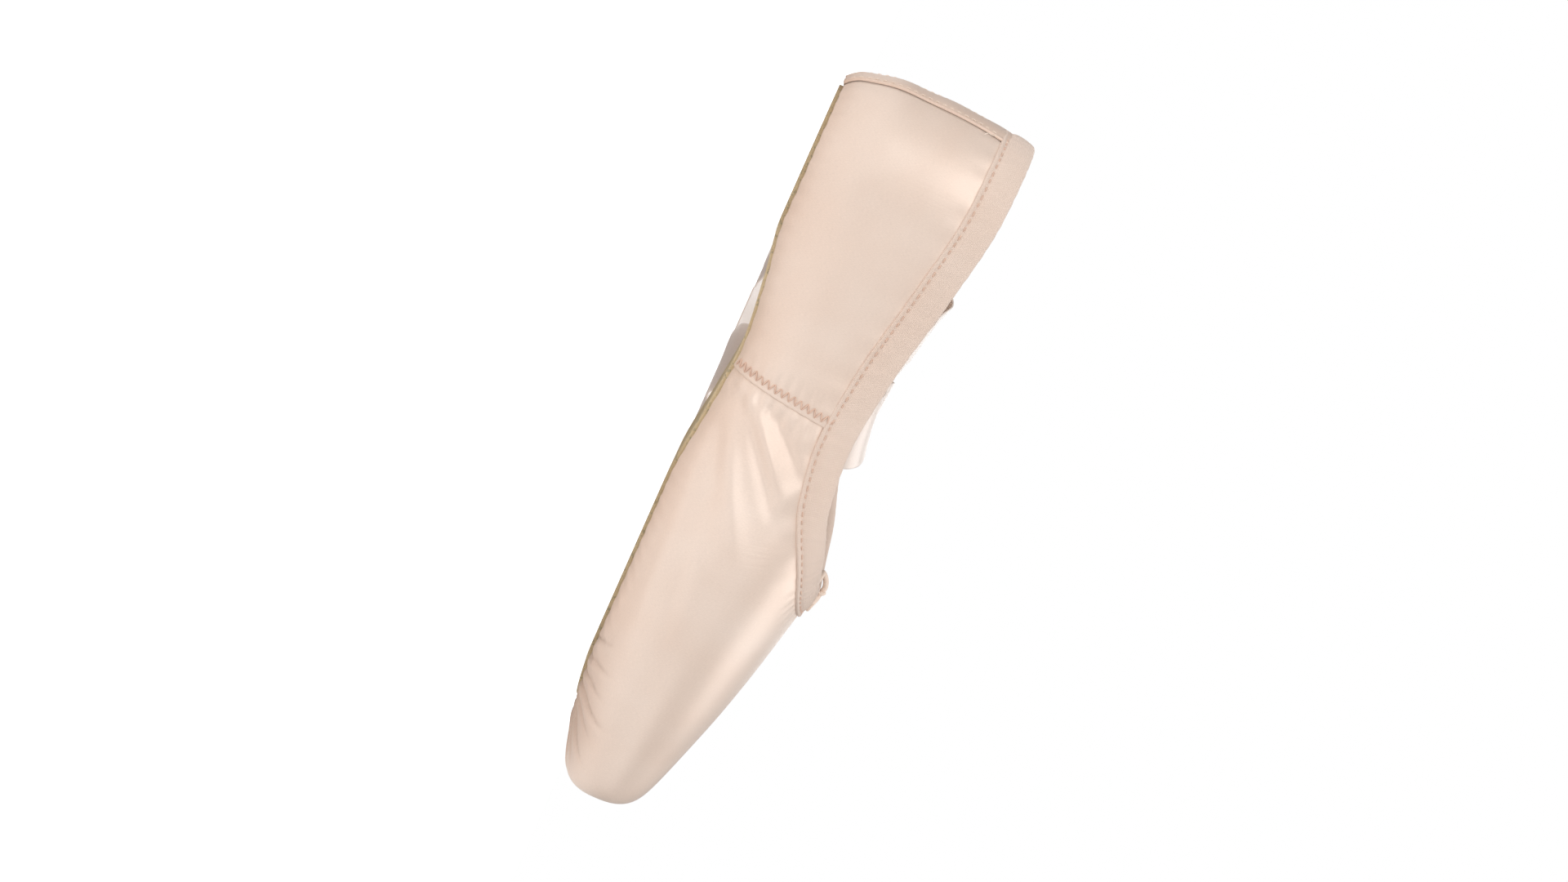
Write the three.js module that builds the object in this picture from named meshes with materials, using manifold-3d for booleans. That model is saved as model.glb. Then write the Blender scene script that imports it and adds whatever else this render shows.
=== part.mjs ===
// A ballet pointe shoe, standing empty on its outsole. Millimetres, +Z up, +X towards the toe, +Y the
// wearer's left when the shoe is on a left foot. The origin is under the middle of the shoe, on the floor.
//
// The upper is a shell around a last. The last is one smooth closed surface, given by lastLevel(), and the
// shell, the collar binding and the insole are all cut from it along the same fan of vertical planes.
import * as THREE from "three";
import { mergeVertices } from "three/addons/utils/BufferGeometryUtils.js";
import Module from "manifold-3d";

// ---------------------------------------------------------------- driving dimensions
const LENGTH = 230; // back of the heel to the platform
const SOLE_THICKNESS = 2.4; // outsole leather
const INSOLE_THICKNESS = 1.8;
const GAP = 0.3; // between two pieces that touch
const CANVAS_WALL = 1.8; // satin, canvas and lining at the quarters
const BOX_WALL = 2.6; // the pasted layers of the toe box
const BOX_START = 118; // the wall thickens into the toe box between these two stations
const BOX_FULL = 152;
const SOLE_HEEL_END = 8; // outsole's two ends, from the back of the heel
const SOLE_TOE_END = 207;
const SOLE_BEVEL = 0.5; // along the outsole's lower edge
const FLANGE = 8; // how far the upper is turned in over the outsole
const INSOLE_MARGIN = -1; // the insole's outline against the outsole's
const INSOLE_BOTTOM = SOLE_THICKNESS + GAP + CANVAS_WALL + GAP; // above the outsole's underside
const FEATHER = 2.2; // the satin swells down around the outsole over this width
const FEATHER_DROP = 1.2; // and this far below the outsole's upper face
const BINDING_WIDTH = 9; // casing tape on the outside of the collar
const BINDING_TAPE = 1; // thickness of the folded tape
const STRING = 1.6; // diameter of the drawstring
const RIBBON_WIDTH = 22;
const RIBBON_THICKNESS = 0.8;

const HEEL_ROUND = 30; // length of the rounded heel end
const TOE_START = 150; // the toe's end rounding is worked out from here to the platform
const TOE_SHARPNESS = 30; // flatness of the platform across its face
const TOE_EDGE = 5; // and how tight its rim is
const PLAN_POWER = 2.2; // roundness of the heel in plan
const UNDER_POWER = 2.3; // roundness of the section below its widest level

// The last, station by station from the heel: half its width, the height where it is widest, the height
// where its section would close at the top, and the roundness of the section above its widest level.
const LAST = [
  { at: 0, halfWidth: 26.5, widest: 22, crown: 86, power: 2.6 },
  { at: 30, halfWidth: 27.2, widest: 22, crown: 84, power: 2.6 },
  { at: 60, halfWidth: 26.2, widest: 22, crown: 76, power: 2.5 },
  { at: 90, halfWidth: 26.6, widest: 21.5, crown: 66, power: 2.4 },
  { at: 120, halfWidth: 31.2, widest: 20.5, crown: 58.5, power: 2.3 },
  { at: 148, halfWidth: 36.4, widest: 19.5, crown: 54, power: 2.3 },
  { at: 170, halfWidth: 37.4, widest: 19, crown: 49.5, power: 2.3 },
  { at: 190, halfWidth: 35.2, widest: 18.5, crown: 44.5, power: 2.4 },
  { at: 210, halfWidth: 29.8, widest: 18.3, crown: 38.5, power: 2.5 },
  { at: 230, halfWidth: 23, widest: 18.5, crown: 32, power: 2.6 },
];

// Underside of the sole in side view: flat under the heel and the forefoot, with a low arch between them,
// and rising under the toe to the lower edge of the platform.
const UNDERSIDE = [
  { at: 0, lift: 0 },
  { at: 46, lift: 0 },
  { at: 66, lift: 2.6 },
  { at: 86, lift: 4.4 },
  { at: 108, lift: 2.4 },
  { at: 130, lift: 0 },
  { at: 184, lift: 0 },
  { at: 198, lift: 0.8 },
  { at: 212, lift: 2.6 },
  { at: 230, lift: 6 },
];

// The outsole's outline before its two ends are rounded off.
const SOLE_OUTLINE = [
  { at: 0, halfWidth: 18 },
  { at: 28, halfWidth: 19 },
  { at: 60, halfWidth: 17 },
  { at: 88, halfWidth: 16 },
  { at: 120, halfWidth: 21 },
  { at: 150, halfWidth: 25.5 },
  { at: 172, halfWidth: 26 },
  { at: 208, halfWidth: 22 },
];
const SOLE_HEEL_ROUND = 20;
const SOLE_TOE_ROUND = 44;

// The collar's edge in side view. It meets the top of the last at the throat.
const COLLAR = [
  { at: 0, height: 58 },
  { at: 22, height: 57 },
  { at: 50, height: 52.5 },
  { at: 78, height: 47 },
  { at: 102, height: 44.5 },
  { at: 118, height: 46 },
  { at: 134, height: 50.8 },
  { at: 148, height: 54.2 },
  { at: 160, height: 62 },
];

// ---------------------------------------------------------------- small tools
const clamp = (x, low, high) => Math.min(Math.max(x, low), high);

function smoothStep(from, to, x) {
  const t = clamp((x - from) / (to - from), 0, 1);
  return t * t * (3 - 2 * t);
}

// A smooth curve through one column of a table, which keeps level stretches level.
function column(table, name) {
  const at = table.map((row) => row.at);
  const value = table.map((row) => row[name]);
  const slope = at.slice(1).map((x, i) => (value[i + 1] - value[i]) / (x - at[i]));
  const tangent = value.map((_, i) => {
    if (i === 0) return slope[0];
    if (i === slope.length) return slope[i - 1];
    return slope[i - 1] * slope[i] <= 0 ? 0 : (2 * slope[i - 1] * slope[i]) / (slope[i - 1] + slope[i]);
  });
  return (x) => {
    const beyond = at.findIndex((a) => a > x);
    const k = clamp(beyond < 0 ? at.length : beyond - 1, 0, at.length - 2);
    const span = at[k + 1] - at[k];
    const t = clamp((x - at[k]) / span, 0, 1);
    return (
      value[k] * (1 + 2 * t) * (1 - t) ** 2 +
      value[k + 1] * t * t * (3 - 2 * t) +
      span * t * (1 - t) * (tangent[k] * (1 - t) - tangent[k + 1] * t)
    );
  };
}

const lastHalfWidth = column(LAST, "halfWidth");
const lastWidest = column(LAST, "widest");
const lastCrown = column(LAST, "crown");
const lastPower = column(LAST, "power");
const underside = column(UNDERSIDE, "lift");
const soleWidth = column(SOLE_OUTLINE, "halfWidth");
const collarHeight = column(COLLAR, "height");

// The wall is canvas at the quarters and thickens into the toe box.
const wallAt = (x) => CANVAS_WALL + (BOX_WALL - CANVAS_WALL) * smoothStep(BOX_START, BOX_FULL, x);

// Half the width of an outline with rounded ends, grown all round by a margin.
function outlineAt(x, margin = 0) {
  const heelEnd = SOLE_HEEL_END - margin;
  const toeEnd = SOLE_TOE_END + margin;
  if (x <= heelEnd || x >= toeEnd) return 0;
  const heel = clamp((heelEnd + SOLE_HEEL_ROUND - x) / SOLE_HEEL_ROUND, 0, 1);
  const toe = clamp((x - toeEnd + SOLE_TOE_ROUND) / SOLE_TOE_ROUND, 0, 1);
  return (soleWidth(x) + margin) * Math.sqrt(1 - heel ** 2) * Math.sqrt(1 - toe ** 2);
}

// ---------------------------------------------------------------- the last
const soleTop = (x) => underside(x) + SOLE_THICKNESS;
const featherHeight = (x) => soleTop(x) - FEATHER_DROP;

function planRadius(x, y) {
  const heel = Math.max(0, (HEEL_ROUND - x) / HEEL_ROUND);
  return (Math.abs(y / lastHalfWidth(x)) ** PLAN_POWER + heel ** PLAN_POWER) ** (1 / PLAN_POWER);
}

// Depth of the section below its widest level, chosen so that it passes through the feather edge.
function keelDepth(x) {
  const at = clamp(x, SOLE_HEEL_END - FEATHER, SOLE_TOE_END + FEATHER);
  const edge = planRadius(at, outlineAt(at, FEATHER));
  return (lastWidest(x) - featherHeight(x)) / (1 - edge ** UNDER_POWER) ** (1 / UNDER_POWER);
}

// Below 0 inside the last, above 0 outside it.
function lastLevel(x, y, z) {
  const rise = z - lastWidest(x);
  const power = rise > 0 ? lastPower(x) : UNDER_POWER;
  const height = rise > 0 ? lastCrown(x) - lastWidest(x) : keelDepth(x);
  const section = (planRadius(x, y) ** power + Math.abs(rise / height) ** power) ** (1 / power);
  const toe = Math.max(0, (x - TOE_START) / (LENGTH - TOE_START));
  return section ** TOE_EDGE + toe ** TOE_SHARPNESS - 1;
}

const SLOPE_STEP = 1e-3;
const NEWTON_STEPS = 4;

function lastNormal(p) {
  const e = SLOPE_STEP;
  const slope = (dx, dy, dz) =>
    lastLevel(p.x + dx, p.y + dy, p.z + dz) - lastLevel(p.x - dx, p.y - dy, p.z - dz);
  return new THREE.Vector3(slope(e, 0, 0), slope(0, e, 0), slope(0, 0, e)).divideScalar(2 * e);
}

// Moves a point that is near the last's surface onto it.
function ontoLast(p) {
  for (let i = 0; i < NEWTON_STEPS; i++) {
    const slope = lastNormal(p);
    p.addScaledVector(slope, -lastLevel(p.x, p.y, p.z) / slope.lengthSq());
  }
  return p;
}

// ---------------------------------------------------------------- meridians
// A meridian is a vertical half-plane through a hub on the centreline. The hubs stand still for the fans
// around the toe and the heel, and move along the centreline between them.
const TOE_HUB = 120;
const HEEL_HUB = 30;
const HALF_MERIDIANS = 42; // steps from the toe round one side to the heel
const OUTER_STEPS = 12; // steps from the feather edge to the lower edge of the binding
const RAYS = 150;
const LOWEST_RAY = -1.8; // radians above level, outwards
const HIGHEST_RAY = 2.8;
const TURN_WEIGHT = 10; // a turn of one radian earns as many points as this many millimetres
const RAY_ORIGIN = 0.55; // rays start this share of the way out from the hub to the widest line
const OUTSIDE = 160; // farther from any hub than the last's surface
const HALVINGS = 26; // bisection steps

function inPlane(plane, r, z) {
  return new THREE.Vector3(plane.hub + r * Math.cos(plane.turn), r * Math.sin(plane.turn), z);
}

// Distance from (r, z) in a plane to the last's surface along a ray.
function castRay(plane, r, z, angle) {
  let near = 0;
  let far = OUTSIDE;
  for (let i = 0; i < HALVINGS; i++) {
    const middle = (near + far) / 2;
    const p = inPlane(plane, r + middle * Math.cos(angle), z + middle * Math.sin(angle));
    if (p.x < 0 || p.x > LENGTH || lastLevel(p.x, p.y, p.z) > 0) far = middle;
    else near = middle;
  }
  return near;
}

// Planes evenly spaced along the widest line of one side of the last, from the toe to the heel.
function halfPlanes() {
  const FINE = 150;
  const candidates = [];
  for (let i = 0; i <= FINE; i++) candidates.push({ hub: TOE_HUB, turn: (i / FINE) * (Math.PI / 2) });
  for (let i = 1; i < FINE; i++)
    candidates.push({ hub: TOE_HUB + (i / FINE) * (HEEL_HUB - TOE_HUB), turn: Math.PI / 2 });
  for (let i = 0; i <= FINE; i++) candidates.push({ hub: HEEL_HUB, turn: (1 + i / FINE) * (Math.PI / 2) });
  const rim = candidates.map((plane) => {
    const level = lastWidest(plane.hub);
    return inPlane(plane, castRay(plane, 0, level, 0), 0);
  });
  const along = [0];
  for (let i = 1; i < rim.length; i++) along.push(along[i - 1] + rim[i].distanceTo(rim[i - 1]));
  const planes = [];
  for (let k = 0; k <= HALF_MERIDIANS; k++) {
    const want = (k / HALF_MERIDIANS) * along[along.length - 1];
    const i = clamp(along.findIndex((s) => s >= want), 1, along.length - 1);
    const t = (want - along[i - 1]) / (along[i] - along[i - 1]);
    planes.push({
      hub: candidates[i - 1].hub + t * (candidates[i].hub - candidates[i - 1].hub),
      turn: candidates[i - 1].turn + t * (candidates[i].turn - candidates[i - 1].turn),
    });
  }
  return planes;
}

// Radius in a plane where the outsole's outline, grown by a margin, crosses it.
function soleRadius(plane, margin) {
  let near = 0;
  let far = OUTSIDE;
  for (let i = 0; i < HALVINGS; i++) {
    const middle = (near + far) / 2;
    const p = inPlane(plane, middle, 0);
    if (outlineAt(p.x, margin) > Math.abs(p.y) + 1e-9) near = middle;
    else far = middle;
  }
  return near;
}

// The last's surface in a plane, from the feather edge up to the collar, as points and outward normals.
function meridian(plane) {
  const level = lastWidest(plane.hub);
  const middle = RAY_ORIGIN * castRay(plane, 0, level, 0);
  const feather = soleRadius(plane, FEATHER);
  const trace = [];
  for (let i = 0; i <= RAYS; i++) {
    const angle = THREE.MathUtils.lerp(LOWEST_RAY, HIGHEST_RAY, i / RAYS);
    const reach = castRay(plane, middle, level, angle);
    const r = middle + reach * Math.cos(angle);
    const z = level + reach * Math.sin(angle);
    const p = inPlane(plane, r, z);
    if (z < level && r < feather) continue;
    if (z > collarHeight(p.x)) {
      // The last step is shortened to end on the collar.
      const before = trace[trace.length - 1];
      const over = z - collarHeight(p.x);
      const under = collarHeight(before.x) - before.z;
      trace.push(before.clone().lerp(p, under / (under + over)));
      break;
    }
    if (trace.length === 0) trace.push(inPlane(plane, feather, z));
    trace.push(p);
  }
  // Steps count distance and turning, so that the platform's rim gets its share of points. The last step
  // is the binding's width, so that the binding lies flat against it.
  const walked = [0];
  const spent = [0];
  for (let i = 1; i < trace.length; i++) {
    const step = trace[i].clone().sub(trace[i - 1]);
    const previous = i > 1 ? trace[i - 1].clone().sub(trace[i - 2]) : step;
    const turning = step.length() > 1e-6 && previous.length() > 1e-6 ? step.angleTo(previous) : 0;
    walked.push(walked[i - 1] + step.length());
    spent.push(spent[i - 1] + step.length() + TURN_WEIGHT * turning);
  }
  const between = (scale, want, result) => {
    const i = clamp(scale.findIndex((s) => s >= want - 1e-9), 1, scale.length - 1);
    return result(i, (want - scale[i - 1]) / (scale[i] - scale[i - 1]));
  };
  const pointAt = (i, t) => trace[i - 1].clone().lerp(trace[i], t);
  const total = walked[walked.length - 1];
  const spentAt = (i, t) => spent[i - 1] + t * (spent[i] - spent[i - 1]);
  const stop = between(walked, total - BINDING_WIDTH, spentAt);
  const points = [];
  for (let k = 0; k <= OUTER_STEPS; k++) points.push(between(spent, (k / OUTER_STEPS) * stop, pointAt));
  points.push(trace[trace.length - 1]);
  return points.map((p) => {
    const point = ontoLast(p);
    return { point, normal: lastNormal(point).normalize() };
  });
}

function mirrored(section) {
  return section.map((p) => new THREE.Vector3(p.x, -p.y, p.z));
}

// A section for every meridian, round the shoe from the toe: one side and its mirror image.
function wholeLoop(halfSections) {
  const back = halfSections.slice(1, -1).reverse().map((section) => mirrored(section));
  return [...halfSections, ...back];
}

// ---------------------------------------------------------------- solids from sections
function geometryOf(points, triangles) {
  const geometry = new THREE.BufferGeometry();
  const flat = new Float32Array(points.length * 3);
  points.forEach((p, i) => flat.set([p.x - LENGTH / 2, p.y, p.z], 3 * i));
  geometry.setAttribute("position", new THREE.BufferAttribute(flat, 3));
  geometry.setIndex(triangles.flat());
  geometry.computeVertexNormals();
  return geometry;
}

// Joins a row of sections, each a closed polygon with the same number of points. A ring of sections joins
// its last to its first, and an open row has flat ends. The sides listed in crossed are split along their
// other diagonal, so that two sides of a thin strip bend alike.
function loft(sections, { ring = false, flip = false, crossed = [] } = {}) {
  const count = sections[0].length;
  const triangles = [];
  const add = (a, b, c) => triangles.push(flip ? [a, c, b] : [a, b, c]);
  const rows = ring ? sections.length : sections.length - 1;
  for (let i = 0; i < rows; i++) {
    const next = ((i + 1) % sections.length) * count;
    for (let k = 0; k < count; k++) {
      const a = i * count + k;
      const b = i * count + ((k + 1) % count);
      const c = next + k;
      const d = next + ((k + 1) % count);
      if (crossed.includes(k)) {
        add(a, b, c);
        add(b, d, c);
      } else {
        add(a, b, d);
        add(a, d, c);
      }
    }
  }
  if (!ring) {
    const end = (sections.length - 1) * count;
    for (let k = 1; k < count - 1; k++) {
      add(0, k + 1, k);
      add(end, end + k, end + k + 1);
    }
  }
  return geometryOf(sections.flat(), triangles);
}

// ---------------------------------------------------------------- upper
const planes = halfPlanes();
const meridians = planes.map(meridian);

const TURN_OUT = 3 * GAP; // the upper turns down this far outside the outsole's edge
const TURN_DOWN = SOLE_THICKNESS / 4; // and has come down by this there

// One closed section of the shell: in over the outsole, round the last to the collar, and back inside.
function upperSection(plane, outside) {
  const edge = soleRadius(plane, 0);
  const turned = (r, drop) => {
    const p = inPlane(plane, r, 0);
    p.z = soleTop(p.x) + GAP - drop;
    return p;
  };
  const under = [turned(edge - FLANGE, 0), turned(edge, 0), turned(edge + TURN_OUT, TURN_DOWN)];
  const wallPoint = ({ point, normal }) => point.clone().addScaledVector(normal, -wallAt(point.x));
  const inside = outside.map(wallPoint);
  const floor = [edge - FLANGE, edge].map((r) => {
    const p = turned(r, 0);
    p.z += CANVAS_WALL;
    return p;
  });
  // The shell's inside runs level over the swelling around the outsole.
  const level = floor[1].z;
  inside.forEach((p) => {
    p.z = Math.max(p.z, level);
  });
  return [...under, ...outside.map((o) => o.point), ...inside.reverse(), floor[1], floor[0]];
}

// ---------------------------------------------------------------- collar binding
// The folded tape in one plane. Its inner faces follow the shell's own two faces, and then its outer ones
// come back over the collar's edge.
function bindingSection([low, high]) {
  const up = high.point.clone().sub(low.point).normalize();
  const outer = GAP + BINDING_TAPE;
  const at = ({ point, normal }, across, along) =>
    point.clone().addScaledVector(normal, across).addScaledVector(up, along);
  const lowWall = wallAt(low.point.x);
  const highWall = wallAt(high.point.x);
  return [
    at(low, GAP, 0),
    at(high, GAP, GAP),
    at(high, -highWall - GAP, GAP),
    at(low, -lowWall - GAP, 0),
    at(low, -lowWall - outer, 0),
    at(high, -highWall - outer, 0),
    at(high, -highWall - outer + BINDING_TAPE / 2, outer),
    at(high, outer - BINDING_TAPE / 2, outer),
    at(high, outer, 0),
    at(low, outer, 0),
  ];
}

// ---------------------------------------------------------------- outsole and insole
// A flat piece with the sole's outline, grown by a margin, between two heights above the underside.
const SOLE_STATIONS = 54;
const CROWDING = 0.97; // how strongly stations crowd towards the two rounded ends, from 0 to 1
const END_GAP = 0.3; // share of a step between each end of the outline and its nearest station

function soleSlab(margin, bottom, top) {
  const start = SOLE_HEEL_END - margin;
  const length = SOLE_TOE_END - SOLE_HEEL_END + 2 * margin;
  const sections = [];
  for (let i = 0; i <= SOLE_STATIONS; i++) {
    const u = (i + END_GAP) / (SOLE_STATIONS + 2 * END_GAP);
    const x = start + length * (u - (CROWDING * Math.sin(2 * Math.PI * u)) / (2 * Math.PI));
    const half = outlineAt(x, margin);
    const low = underside(x) + bottom;
    const bevel = Math.min(SOLE_BEVEL, half / 2);
    const corner = (y, z) => new THREE.Vector3(x, y, z);
    sections.push([
      corner(-half + bevel, low),
      corner(half - bevel, low),
      corner(half, low + bevel),
      corner(half, underside(x) + top),
      corner(-half, underside(x) + top),
      corner(-half, low + bevel),
    ]);
  }
  return loft(sections);
}

// ---------------------------------------------------------------- ribbons
// Each ribbon's route, from its sewn end inside the quarter to its free end on the floor. low is the height
// of the ribbon's lower edge, edge the plan direction of its width in degrees, and lean that width's slope.
const ON_FLOOR = RIBBON_THICKNESS / 2 + 0.3;

const RIBBON_MEDIAL = [
  { x: 98.5, y: -22, low: 26, edge: 0, lean: 6 },
  { x: 97.5, y: -21.3, low: 35, edge: 0, lean: 6 },
  { x: 96, y: -19, low: 44, edge: 2, lean: 6 },
  { x: 93, y: -14, low: 48, edge: 12, lean: 4 },
  { x: 87, y: -5, low: 47.6, edge: 24, lean: -2 },
  { x: 79, y: 6, low: 48, edge: 24, lean: -7 },
  { x: 71.5, y: 16, low: 50.6, edge: 14, lean: -11 },
  { x: 67, y: 23.4, low: 51.8, edge: 5, lean: -11 },
  { x: 64.6, y: 28.6, low: 47, edge: 2, lean: -10 },
  { x: 63.4, y: 30.4, low: 37, edge: 0, lean: -5 },
  { x: 62.4, y: 30.8, low: 24, edge: 0, lean: 0 },
  { x: 61.4, y: 32, low: 10, edge: 0, lean: 0 },
  { x: 60, y: 36.4, low: 3, edge: 4, lean: 0 },
  { x: 58, y: 47, low: ON_FLOOR, edge: 8, lean: 0 },
  { x: 55, y: 62, low: ON_FLOOR, edge: 6, lean: 6 },
  { x: 57, y: 78, low: ON_FLOOR, edge: -18, lean: 24 },
  { x: 70, y: 90, low: ON_FLOOR, edge: -60, lean: 20 },
  { x: 91, y: 93, low: ON_FLOOR, edge: -78, lean: -4 },
  { x: 108, y: 101, low: ON_FLOOR, edge: -45, lean: -26 },
  { x: 112, y: 118, low: ON_FLOOR, edge: 5, lean: -40 },
  { x: 100, y: 132, low: ON_FLOOR, edge: 60, lean: -24 },
  { x: 78, y: 135, low: ON_FLOOR, edge: 88, lean: -4 },
  { x: 56, y: 138, low: ON_FLOOR, edge: 76, lean: 10 },
  { x: 42, y: 150, low: ON_FLOOR, edge: 28, lean: 32 },
  { x: 43, y: 168, low: ON_FLOOR, edge: -20, lean: 36 },
  { x: 58, y: 179, low: ON_FLOOR, edge: -66, lean: 18 },
  { x: 80, y: 181, low: ON_FLOOR, edge: -86, lean: 0 },
  { x: 102, y: 183, low: ON_FLOOR, edge: -82, lean: 0 },
  { x: 124, y: 188, low: ON_FLOOR, edge: -78, lean: 0 },
  { x: 146, y: 192, low: ON_FLOOR, edge: -80, lean: 0 },
  { x: 162, y: 194, low: ON_FLOOR, edge: -82, lean: 0 },
];

const RIBBON_LATERAL = [
  { x: 97, y: 22, low: 27, edge: 0, lean: 0 },
  { x: 97, y: 21.3, low: 36, edge: 0, lean: -1 },
  { x: 97, y: 19, low: 43.6, edge: 0, lean: -3 },
  { x: 97.2, y: 19.8, low: 47.8, edge: 0, lean: -4 },
  { x: 97.6, y: 24.4, low: 49, edge: 0, lean: -4 },
  { x: 98.2, y: 28.4, low: 45, edge: 0, lean: -3 },
  { x: 99, y: 30.2, low: 36, edge: 0, lean: 0 },
  { x: 100, y: 31.4, low: 22, edge: 0, lean: 0 },
  { x: 101, y: 33.4, low: 9, edge: -4, lean: 0 },
  { x: 103, y: 38.6, low: 3, edge: -14, lean: 0 },
  { x: 108, y: 47, low: ON_FLOOR, edge: -30, lean: 0 },
  { x: 119, y: 57, low: ON_FLOOR, edge: -54, lean: 8 },
  { x: 137, y: 62, low: ON_FLOOR, edge: -80, lean: 6 },
  { x: 160, y: 63, low: ON_FLOOR, edge: -90, lean: 0 },
  { x: 184, y: 62, low: ON_FLOOR, edge: -88, lean: -2 },
  { x: 205, y: 66, low: ON_FLOOR, edge: -60, lean: -22 },
  { x: 217, y: 80, low: ON_FLOOR, edge: -5, lean: -42 },
  { x: 211, y: 96, low: ON_FLOOR, edge: 45, lean: -30 },
  { x: 192, y: 103, low: ON_FLOOR, edge: 80, lean: -6 },
  { x: 169, y: 103, low: ON_FLOOR, edge: 88, lean: 4 },
  { x: 151, y: 107, low: ON_FLOOR, edge: 62, lean: 22 },
  { x: 143, y: 120, low: ON_FLOOR, edge: 5, lean: 38 },
  { x: 147, y: 136, low: ON_FLOOR, edge: -36, lean: 24 },
  { x: 163, y: 145, low: ON_FLOOR, edge: -72, lean: 4 },
  { x: 185, y: 147, low: ON_FLOOR, edge: -88, lean: 0 },
  { x: 207, y: 148, low: ON_FLOOR, edge: -82, lean: -4 },
  { x: 226, y: 155, low: ON_FLOOR, edge: -50, lean: -18 },
  { x: 236, y: 170, low: ON_FLOOR, edge: -8, lean: -30 },
  { x: 233, y: 187, low: ON_FLOOR, edge: 26, lean: -18 },
  { x: 222, y: 201, low: ON_FLOOR, edge: 48, lean: 0 },
  { x: 205, y: 209, low: ON_FLOOR, edge: 68, lean: 0 },
  { x: 187, y: 213, low: ON_FLOOR, edge: 78, lean: 0 },
];
const RIBBON_STEPS = 78;
const CURVE_STEPS = 12; // for each row of a route, to measure its length
const UNDERSIDE_OF_RIBBON = 0; // the side of each section that faces down

function ribbon(route) {
  const curve = new THREE.CatmullRomCurve3(route.map((row) => new THREE.Vector3(row.x, row.y, row.low)));
  const rows = route.length - 1;
  const fine = CURVE_STEPS * rows;
  const walked = [0];
  for (let i = 1; i <= fine; i++) {
    walked.push(walked[i - 1] + curve.getPoint(i / fine).distanceTo(curve.getPoint((i - 1) / fine)));
  }
  const sections = [];
  for (let k = 0; k <= RIBBON_STEPS; k++) {
    const want = (k / RIBBON_STEPS) * walked[fine];
    const i = clamp(walked.findIndex((s) => s >= want - 1e-9), 1, fine);
    const t = (i - 1 + (want - walked[i - 1]) / (walked[i] - walked[i - 1])) / fine;
    const row = clamp(Math.floor(t * rows), 0, rows - 1);
    const part = smoothStep(0, 1, t * rows - row);
    const angle = (name) =>
      THREE.MathUtils.degToRad(THREE.MathUtils.lerp(route[row][name], route[row + 1][name], part));
    const edge = angle("edge");
    const lean = angle("lean");
    const along = curve.getTangent(t);
    const across = new THREE.Vector3(
      Math.cos(edge) * Math.cos(lean),
      Math.sin(edge) * Math.cos(lean),
      Math.sin(lean),
    );
    across.addScaledVector(along, -across.dot(along)).normalize();
    const through = along.clone().cross(across);
    const centre = curve.getPoint(t);
    centre.z += (Math.abs(Math.sin(lean)) * RIBBON_WIDTH) / 2;
    const corner = (w, h) =>
      centre
        .clone()
        .addScaledVector(across, (w * RIBBON_WIDTH) / 2)
        .addScaledVector(through, (h * RIBBON_THICKNESS) / 2);
    sections.push([corner(1, -1), corner(-1, -1), corner(-1, 1), corner(1, 1)]);
  }
  return loft(sections.reverse(), { crossed: [UNDERSIDE_OF_RIBBON] });
}

// ---------------------------------------------------------------- drawstring
const wasm = await Module();
wasm.setup();

function solid(geometry) {
  const bare = geometry.clone();
  bare.deleteAttribute("normal");
  bare.deleteAttribute("uv");
  const merged = mergeVertices(bare, 1e-4);
  return new wasm.Manifold(
    new wasm.Mesh({
      numProp: 3,
      vertProperties: new Float32Array(merged.attributes.position.array),
      triVerts: new Uint32Array(merged.index.array),
    }),
  );
}

function geometryFrom(manifold) {
  const mesh = manifold.getMesh();
  const geometry = new THREE.BufferGeometry();
  geometry.setAttribute("position", new THREE.BufferAttribute(mesh.vertProperties, 3));
  geometry.setIndex(new THREE.BufferAttribute(mesh.triVerts, 1));
  geometry.computeVertexNormals();
  return geometry;
}

// The string comes out of the binding at the throat in a small arch, and is tied on top of the binding.
const ARCH_WIDTH = 8;
const ARCH_RISE = 3.6;
const KNOT_LENGTH = 8;
const KNOT_WIDTH = 4.6;
const KNOT_HEIGHT = 2.4;
const KNOT_SINK = 0.4; // the string's end runs this far over the binding, inside the knot
const STRING_SIDES = 8;
const ARCH_PLACES = [-1, -0.75, 0, 0.75, 1]; // across the arch, in half widths

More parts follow.
